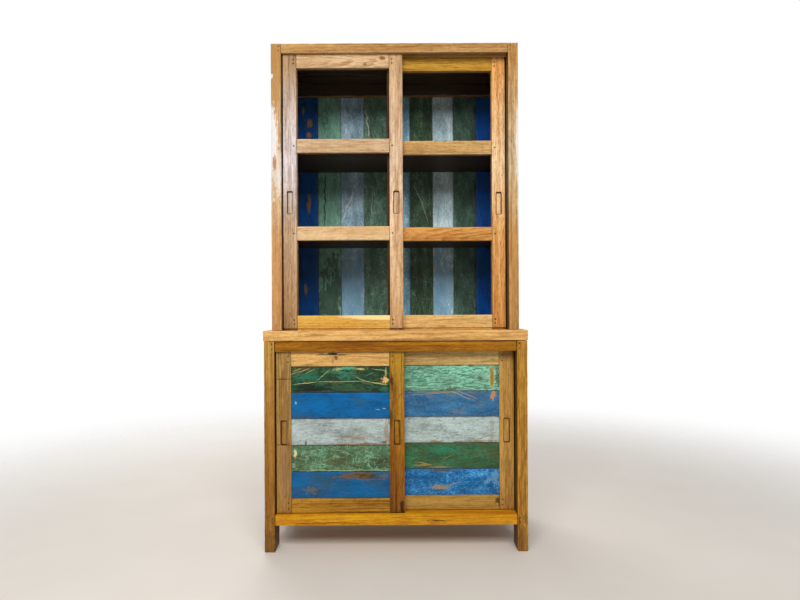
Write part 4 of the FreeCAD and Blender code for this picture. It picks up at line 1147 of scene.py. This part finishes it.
# %% Panel door frames
PANEL_DOORS = {"panel_door_left": (-457, 33), "panel_door_right": (-33, 457)}
PANEL_STILE, PANEL_GROOVE, BOARD_FRONT, BOARD_REAR = 57, 8, 6, 16
BOARDS_LOW, BOARDS_HIGH, LET_IN = 199, 703, 7.4
panel_kind = dict(stile=PANEL_STILE, foot=133.3, pull=(450, 22, 93),
                  rails=(("bottom_rail", 143.5, BOARDS_LOW, 22), ("top_rail", BOARDS_HIGH, 769, 22)))
TAR = (22, 15, 9)
panel_looks = {
    "panel_door_left": {
        "outer_stile": timber(
            71.2, (190, 149, 81), (129, 92, 44), (15, -50), slope=0.015, tint=(142, 112, 65), tint_amount=0.5,
            streaks=0.5, drift=((1, 0.6), (1.02, 0.7), (1.1, 1), (1.15, 1.2)),
            marks=[(-428, 655, 30, 2.2, TAR, 0.75, 0.5), (-428, 404, 28, 2.6, TAR, 0.6, 0.6),
                   (-428, 300, 30, 130, (150, 122, 92), 0.35, 0.7)]),
        "meeting_stile": timber(
            72.5, (174, 124, 34), (106, 64, 12), (-10, -30), wander=6, tint=(137, 86, 16), tint_amount=0.5,
            rings=0.7, drift=((0.8, 0.4), (1.08, 0.5), (1.12, 0.9), (1.05, 1.4)),
            marks=[(-16, 645, 6.5, 27, TAR, 0.85, 1), (-6, 600, 18, 50, (96, 58, 22), 0.4, 1.2),
                   (-20, 510, 6, 35, TAR, 0.6, 1.2), (22, 163, 12, 30, TAR, 0.85, 0.8)]),
        "bottom_rail": timber(
            73.7, (192, 138, 42), (112, 68, 12), (0, -40), slope=0.015, spacing=9, wander=8,
            tint=(150, 98, 24), tint_amount=0.4, streaks=0.9, rings=0.9),
        "top_rail": timber(
            76.3, (238, 194, 120), (185, 133, 69), (0, -60), spacing=7, tint=(221, 169, 94), tint_amount=0.4,
            streaks=0.35,
            marks=[(-240, 752, 18, 7, TAR, 0.95, 1), (-243, 748, 60, 4.5, TAR, 0.75, 1.4),
                   (-228, 736, 8, 10, (96, 60, 30), 0.8, 1), (-240, 722, 4, 16, (140, 92, 50), 0.6, 1),
                   (-330, 708, 35, 4, (120, 78, 40), 0.6, 1.2)]),
    },
    "panel_door_right": {
        "outer_stile": timber(
            81.2, (204, 157, 82), (148, 104, 47), (20, -70), tint=(166, 119, 59), tint_amount=0.4,
            drift=((1, 0.9), (1.02, 1), (0.92, 0.8), (0.92, 1.1))),
        # The rear meeting stile gets painted shade where it lies behind the front door's stile.
        "meeting_stile": timber(82.5, (180, 130, 80), (130, 86, 46), (0, -60), inner=[("x", -20, -1, 0.8)]),
        "bottom_rail": timber(
            83.7, (192, 152, 74), (142, 100, 39), (0, -40), spacing=7, tint=(170, 128, 55), tint_amount=0.4,
            marks=[(395, 178, 12, 16, TAR, 0.8, 1.6)]),
        "top_rail": timber(
            86.3, (232, 198, 130), (176, 138, 78), (0, -60), spacing=7, tint=(226, 188, 109), tint_amount=0.4,
            marks=[(0, 716, 60, 5, (110, 76, 40), 0.6, 1.6), (370, 718, 50, 6, (120, 84, 46), 0.5, 1.6)]),
    },
}
for (prefix, (left, right)), face in zip(PANEL_DOORS.items(), PANEL_FACES):
    low = (left + PANEL_STILE - PANEL_GROOVE, face + BOARD_FRONT - GROOVE_ROOM, BOARDS_LOW - PANEL_GROOVE)
    high = (right - PANEL_STILE + PANEL_GROOVE, face + BOARD_REAR + GROOVE_ROOM, BOARDS_HIGH + PANEL_GROOVE)
    door_frame(prefix, left, right, face, panel_kind, [(low, high)], panel_looks[prefix])

# %% [markdown]
# The boards of the base doors are the face of the cabinet. From the top they run green, blue, pale, green and
# blue, and each has its own history: long yellow cracks in the dark green, smoke on the blue, brown chips
# along the pale ones, crackled mint, rust on the lower blue.

# %% Painted boards of the base doors
CHIP, CREAM, BARE, PITCH = (186, 138, 84), (226, 206, 160), (138, 104, 62), (16, 22, 14)
YELLOW, OLIVE, MINT = (196, 192, 120), (78, 70, 34), (84, 170, 132)
SHORT_CRACKS = [(x, z, 0.45, 0, 20, 1.7, YELLOW, 0.7)
                for x, z in ((-378, 690), (-362, 684), (-345, 690), (-328, 684), (-390, 676))]
door_boards = {
    "panel_door_left": [
        ("green", (28, 57, 34), (36, 111, 86),
         dict(bright=(160, 170, 110), soot=(26, 34, 22), smoke=0.55, crackle=0.25, cracks=0.15, strokes=0.7,
              scratches=0.3, worn=0.08, patches=0.35, wood=(190, 172, 104)),
         [(-200, 609, 240, 11, (24, 34, 22), 0.7, 0.5), (-345, 663, 55, 14, (52, 118, 94), 0.55, 1.5),
          (-195, 670, 35, 14, MINT, 0.35, 1.5), (-185, 697, 34, 8, MINT, 0.8, 0.9),
          (-284, 638, 22, 9, (58, 104, 70), 0.6, 0.8), (-170, 618, 75, 12, (62, 100, 64), 0.5, 1.4),
          (-45, 615, 18, 10, (42, 122, 92), 0.6, 0.9), (-360, 692, 40, 10, (112, 104, 56), 0.5, 1.5),
          (-325, 621, 60, 12, PITCH, 0.75, 1.4), (-110, 668, 55, 14, (30, 62, 44), 0.5, 1.4),
          (-250, 664, 40, 8, (34, 50, 32), 0.5, 1.4), (-137, 692, 20, 4, YELLOW, 0.8, 1),
          (-222, 691, 16, 5, YELLOW, 0.6, 1.4), (-38, 677, 4, 18, YELLOW, 0.6, 1),
          (-40, 649, 14, 14, (226, 180, 110), 0.95, 1)],
         [(-350, 634, 0.12, 0, 50, 2.8, PITCH, 0.6), (-245, 650.5, 0.02, 0, 55, 3.4, (74, 66, 48), 0.7),
          (-350, 637.5, 0.12, 0, 50, 2.4, YELLOW, 0.9), (-240, 643.5, 0, 0.3, 68, 2.2, YELLOW, 0.75),
          (-160, 645, 0.03, -0.4, 50, 2, YELLOW, 0.7), (-75, 638, -0.17, 0, 50, 2.6, YELLOW, 0.9),
          (-276, 670, 0.85, 0, 30, 2, YELLOW, 0.75), (-135, 654, -0.45, 0, 22, 2.2, YELLOW, 0.8),
          (-62, 688, -0.1, 1, 32, 2.2, YELLOW, 0.7), (-100, 672, 0.5, 0, 18, 1.6, YELLOW, 0.5),
          (-240, 608, 0.05, 0.2, 120, 1.6, (96, 124, 80), 0.5), *SHORT_CRACKS]),
        ("blue", (0, 97, 156), (0, 84, 138),
         dict(soot=(44, 66, 74), smoke=0.45, crackle=0, strokes=0.15, scratches=0.06, specks=0.7, worn=0.06,
              patches=0.45, wood=(150, 112, 66)),
         [(-360, 508, 60, 12, (52, 74, 84), 0.5, 0.8), (-280, 504, 12, 4, TAR, 0.7, 0.7),
          (-136, 568, 30, 12, (40, 92, 108), 0.5, 1.2), (-383, 563, 3, 5, CREAM, 0.7, 1),
          (-45, 540, 6, 1.6, CREAM, 0.7, 1), (-70, 536, 8, 1.4, (150, 186, 206), 0.7, 1)], []),
        ("pale", (172, 185, 182), (156, 170, 170),
         dict(soot=(120, 116, 92), smoke=0.25, crackle=0, strokes=0.1, scratches=0.15, specks=0.6, worn=0.12,
              wood=(120, 98, 62)),
         [(-345, 409, 4, 12, (60, 66, 62), 0.8, 0.6), (-160, 403, 110, 6, BARE, 0.8, 1.5),
          (-150, 432, 70, 10, BARE, 0.45, 1.8), (-36, 445, 12, 50, BARE, 0.55, 1.6),
          (-45, 412, 10, 6, TAR, 0.6, 1.2)], []),
        ("green", (77, 111, 79), (132, 182, 147),
         dict(bright=(170, 200, 160), soot=(76, 68, 34), smoke=0.75, crackle=0.1, cracks=0.35, strokes=0.8,
              scratches=0.3, worn=0.12, patches=0.3, wood=(104, 88, 50)),
         [(-386, 370, 6, 18, CREAM, 0.95, 0.9), (-220, 335, 70, 22, OLIVE, 0.55, 1.3),
          (-60, 330, 40, 20, (52, 46, 24), 0.7, 1.3)],
         [(-200, 304, 0, 0, 190, 3, (170, 206, 160), 0.7)]),
        ("blue", (8, 92, 145), (17, 79, 117),
         dict(soot=(70, 74, 62), smoke=0.45, crackle=0, strokes=0.15, scratches=0.1, worn=0.12, patches=0.5,
              wood=(120, 92, 48)),
         [(-260, 270, 65, 22, (46, 74, 84), 0.65, 1.5), (-130, 284, 75, 14, (116, 84, 24), 0.95, 1.4),
          (-120, 284, 45, 8, (64, 48, 14), 0.85, 1.4), (-327, 228, 24, 14, (112, 100, 66), 0.6, 1.5)], []),
    ],
    "panel_door_right": [
        ("green", (140, 198, 168), (118, 192, 164),
         dict(soot=(70, 106, 78), smoke=0.35, crackle=0.85, strokes=0.25, scratches=0.15, worn=0.08,
              patches=0.5, wood=(150, 120, 70)),
         [(30, 670, 100, 45, (58, 104, 84), 0.45, 1.2), (373, 655, 13, 48, (176, 206, 134), 0.7, 0.8),
          (373, 655, 9, 42, (158, 112, 42), 0.95, 0.7), (394, 655, 8, 40, (62, 78, 66), 0.7, 1),
          (328, 650, 10, 8, (96, 76, 64), 0.8, 1), (225, 611, 55, 5, (64, 74, 46), 0.75, 1.5),
          (350, 612, 15, 6, (62, 68, 50), 0.7, 1.4), (80, 610, 60, 4, (76, 92, 56), 0.6, 1.5)], []),
        ("blue", (43, 102, 148), (62, 113, 142),
         dict(soot=(96, 104, 84), smoke=0.3, crackle=0, cracks=0.2, strokes=0.15, scratches=0.12, worn=0.07,
              bright=(150, 136, 92)),
         [(378, 585, 11, 21, CHIP, 0.95, 0.9), (170, 598, 110, 4, (150, 130, 80), 0.7, 1.2)],
         [(255, 584, -0.45, 0, 55, 3, (190, 164, 112), 0.7),
          (275, 588, -0.42, 0, 45, 2.2, (190, 164, 112), 0.7),
          (130, 592, 0.05, -0.4, 90, 2.6, (160, 140, 90), 0.7)]),
        ("pale", (174, 189, 185), (158, 175, 173),
         dict(soot=(124, 120, 96), smoke=0.2, crackle=0, strokes=0.1, scratches=0.2, specks=0.9, worn=0.17,
              wood=(140, 110, 70)),
         [(155, 404, 30, 6, BARE, 0.8, 1.5), (235, 403, 15, 5, BARE, 0.8, 1.3),
          (325, 403, 65, 6, BARE, 0.85, 1.5), (372, 445, 10, 50, BARE, 0.35, 1.5)],
         [(345, 424, 0.35, 1.5, 50, 2.8, (140, 112, 70), 0.8)]),
        ("green", (56, 95, 60), (38, 131, 104),
         dict(soot=(74, 78, 38), smoke=0.6, crackle=0.15, strokes=0.35, scratches=0.4, worn=0.14,
              patches=0.42, wood=(170, 140, 80)),
         [(190, 375, 60, 22, (44, 134, 102), 0.45, 1.4), (100, 314, 30, 4, (160, 132, 76), 0.8, 1.4),
          (170, 307, 40, 3, (160, 132, 76), 0.8, 1.4)],
         [(105, 322, -0.18, 0, 40, 2.6, (176, 150, 92), 0.7),
          (200, 345, 0.6, 0, 25, 2, (176, 150, 92), 0.6)]),
        ("blue", (6, 92, 152), (88, 162, 206),
         dict(soot=(60, 84, 92), smoke=0.25, crackle=0, strokes=0.35, scratches=0.15, worn=0.08,
              patches=0.45),
         [(380, 262, 32, 34, (126, 180, 218), 0.45, 1.6), (0, 262, 40, 30, (104, 158, 206), 0.4, 1.6),
          (170, 229, 32, 10, (156, 132, 84), 0.9, 1.2), (180, 294, 60, 5, (86, 70, 40), 0.8, 1)],
         [(210, 236, 0.3, 2, 50, 3.5, (150, 132, 90), 0.8)]),
    ],
}
for (prefix, (left, right)), face in zip(PANEL_DOORS.items(), PANEL_FACES):
    rows = door_boards[prefix]
    pitch = (BOARDS_HIGH - BOARDS_LOW) / len(rows)
    for number, (family, *coats) in enumerate(rows):
        is_highest, is_lowest = number == 0, number == len(rows) - 1
        z_high = BOARDS_HIGH - number * pitch + (LET_IN if is_highest else -BOARD_GAP)
        z_low = BOARDS_HIGH - (number + 1) * pitch - LET_IN * is_lowest
        low = (left + PANEL_STILE - LET_IN, face + BOARD_FRONT, z_low)
        high = (right - PANEL_STILE + LET_IN, face + BOARD_REAR, z_high)
        label = f"{prefix}_board_{number + 1}_{family}"
        seed = 90 + 2.3 * number + 20 * (prefix == "panel_door_right")
        finish = painted_finish(label, metres(low), metres(high), "x", seed, *coats, face + DOOR_DEPTH / 2)
        matched_board(label, prefix + "_boards", low, high, 2, finish, is_lowest, is_highest, body=prefix,
                      slot="painted_boards", ease=1.3, planing=0.8)
print("painted door boards:", sum(len(rows) for rows in door_boards.values()))

# %% [markdown]
# Each joint is locked with wooden pegs. Their heads stand a hair proud where the wood around them has shrunk,
# and a dark ring shows round each one. One peg is modelled, from a short cylinder with its head inset and
# pushed out to a low dome, and copied to every hole.

# %% Pegs
PEG_RADIUS, PEG_LENGTH, DOME, DOME_RING = 3, 7.5, 0.25, 0.8


def peg_head(x, face, z):
    """One wooden peg whose head is a low dome just behind the carcass face."""
    peg = turned_rod(x, face + DOME, face + DOME + PEG_LENGTH, z, PEG_RADIUS)
    bpy.ops.object.mode_set(mode="EDIT")
    select_where("FACE", faces_front)
    bpy.ops.mesh.inset(thickness=DOME_RING * MM)
    bpy.ops.transform.translate(value=(0, -DOME * MM, 0))
    bpy.ops.object.mode_set(mode="OBJECT")
    return peg


def peg_set(body, places, node):
    """All the pegs of one node, as one mesh of copies."""
    name = "peg_heads_" + body
    pegs = [peg_head(*places[0])]
    for place in places[1:]:
        copy = pegs[0].copy()
        copy.data = pegs[0].data.copy()
        bpy.context.scene.collection.objects.link(copy)
        copy.data.transform(Matrix.Translation(Vector(metres(place)) - Vector(metres(places[0]))))
        pegs.append(copy)
    pick(*pegs)
    bpy.ops.object.join()
    pegs[0].name = pegs[0].data.name = name
    low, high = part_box(node)
    finish = teak_finish(name, tuple(low), tuple(high), "y", 33.3, (150, 104, 62), (84, 54, 28), spacing=3,
                         worn=0, boards=("z", 0, 0.02))
    hand_in(pegs[0], body, node, finish)


all_pegs = {"carcass": carcass_pegs, **door_pegs}
for body, places in all_pegs.items():
    peg_set(body, places, body + "_pegs")
print("pegs:", sum(len(places) for places in all_pegs.values()))

# %% [markdown]
# Shelves, floor, battens and glazing beads keep the shape that the joinery model gives them. They only need
# their wood: a duller, drier teak, as inside any old cabinet, with a new log for every board.

# %% Finishes for the pieces kept from the joinery model
SHELF_BOARDS, BEAD_RUNS = ("x", ("y", -0.108, 0.1013)), ("x", ("z", 0, 0.05))
inside_boards = {
    "hutch_shelf_lower": SHELF_BOARDS, "hutch_shelf_upper": SHELF_BOARDS,
    "base_shelf": ("x", ("y", -0.131, 0.109)), "base_floor_boards": ("x", ("y", -0.1317, 0.1011)),
    "base_cleats": ("y", ("z", 0, 0.15)), "hutch_cleats": ("y", ("z", 0, 0.2)),
    **{door + "_beads": BEAD_RUNS for door in GLASS_DOORS},
}


def dress_kept(node, material):
    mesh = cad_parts[node].data
    mesh.materials.clear()
    mesh.materials.append(material)


for number, (node, (grain, boards)) in enumerate(inside_boards.items()):
    low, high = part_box(node)
    # The hutch's shelves and cleats get painted shade below their top faces.
    shaded_below_top = [("z", high[2] / MM - 4, -1, 0.97)] if node.startswith("hutch") else ()
    dress_kept(node, teak_finish("dry_teak_" + node, tuple(low), tuple(high), grain, 110 + 3.1 * number,
                                 (186, 140, 88), (132, 92, 52), tint=(130, 104, 76), tint_amount=0.45, worn=0,
                                 boards=boards, inner=shaded_below_top))
print("kept pieces with a wood finish:", len(inside_boards))

# %% [markdown]
# The panes are ordinary window glass, a little uneven, with a trace of dust. A real pane lets nearly all the
# light through to the shelves, so the material steps aside for shadow rays; otherwise the boards behind would
# lie in the dark.

# %% Glass
LETS_THROUGH = 0.96


def object_coordinates(tree):
    return Field(tree.nodes.new("ShaderNodeTexCoord").outputs["Object"])


def rays_of(tree, *kinds):
    """1 for rays of any of these kinds, and 0 for the others."""
    rays = tree.nodes.new("ShaderNodeLightPath").outputs
    chosen = Field(rays[kinds[0]])
    for kind in kinds[1:]:
        chosen = larger(chosen, Field(rays[kind]))
    return chosen


glass, tree, shader = new_material("window_glass")
shader["Transmission Weight"].default_value = 1.0
shader["IOR"].default_value = 1.06
coordinates = object_coordinates(tree)
dust = noise(coordinates, (9, 9, 14), 5, 0.7)
feed(step(dust, 0.5, 0.8) * 0.05, shader["Roughness"])
feed(mix(step(dust, 0.3, 0.8), colour(246, 250, 248), colour(232, 238, 234)), shader["Base Color"])
feed(relief(noise(coordinates, (5, 5, 4), 1), 0.15, 0.002), shader["Normal"])
feed(1 - rays_of(tree, "Is Shadow Ray", "Is Diffuse Ray") * LETS_THROUGH, shader["Alpha"])
for door in GLASS_DOORS:
    dress_kept(door + "_panes", glass)
print("glass is on the panes")

# %% [markdown]
# The studio is plain: a pale floor that fades into a white background, one broad lamp above and in front, and
# an even grey sky for the fill. The background's white is only for the camera's, mirror and glass rays, so it
# doesn't light the wood, and colours come out about as they are written.

# %% Floor, light and background
FLOOR_RADIUS, FADE_START, FADE_END = 4.0, 1.3, 3.6
FILL, WHITE = 0.27, 1.0

pick()
bpy.ops.mesh.primitive_circle_add(vertices=96, radius=FLOOR_RADIUS, fill_type="NGON", location=(0, 0, 0))
floor = bpy.context.object
floor.name = "floor"
floor_finish, tree, shader = new_material("pale_floor")
shader["Roughness"].default_value = 0.7
coordinates = object_coordinates(tree)
speckle = noise(coordinates, (3, 3, 3), 3)
feed(mix(speckle, colour(236, 230, 222), colour(228, 221, 211)), shader["Base Color"])
feed(1 - step(maths("LENGTH", coordinates), FADE_START, FADE_END), shader["Alpha"])
floor.data.materials.append(floor_finish)

bpy.context.scene.view_settings.view_transform = "Standard"
world = bpy.data.worlds.new("studio")
bpy.context.scene.world = world
world.use_nodes = True
background = world.node_tree.nodes["Background"].inputs
background["Color"].default_value = (1, 1, 1, 1)
seen = rays_of(world.node_tree, "Is Camera Ray", "Is Glossy Ray", "Is Transmission Ray")
feed(seen * (WHITE - FILL) + FILL, background["Strength"])


def softbox(name, place, target, size, power):
    """A square lamp that faces a point."""
    lamp_data = bpy.data.lights.new(name, "AREA")
    lamp_data.shape = "RECTANGLE"
    lamp_data.size, lamp_data.size_y = size
    lamp_data.energy = power
    lamp = bpy.data.objects.new(name, lamp_data)
    lamp.location = place
    lamp.rotation_euler = (Vector(target) - Vector(place)).to_track_quat("-Z", "Y").to_euler()
    lamp.visible_glossy = lamp.visible_transmission = False
    bpy.context.scene.collection.objects.link(lamp)


softbox("key_lamp", (0.0, -3.1, 2.9), (0, 0, 1.3), (3.0, 1.6), 124)
softbox("rear_lamp", (-1.2, 2.8, 2.6), (0, 0, 0.9), (2.4, 1.6), 70)
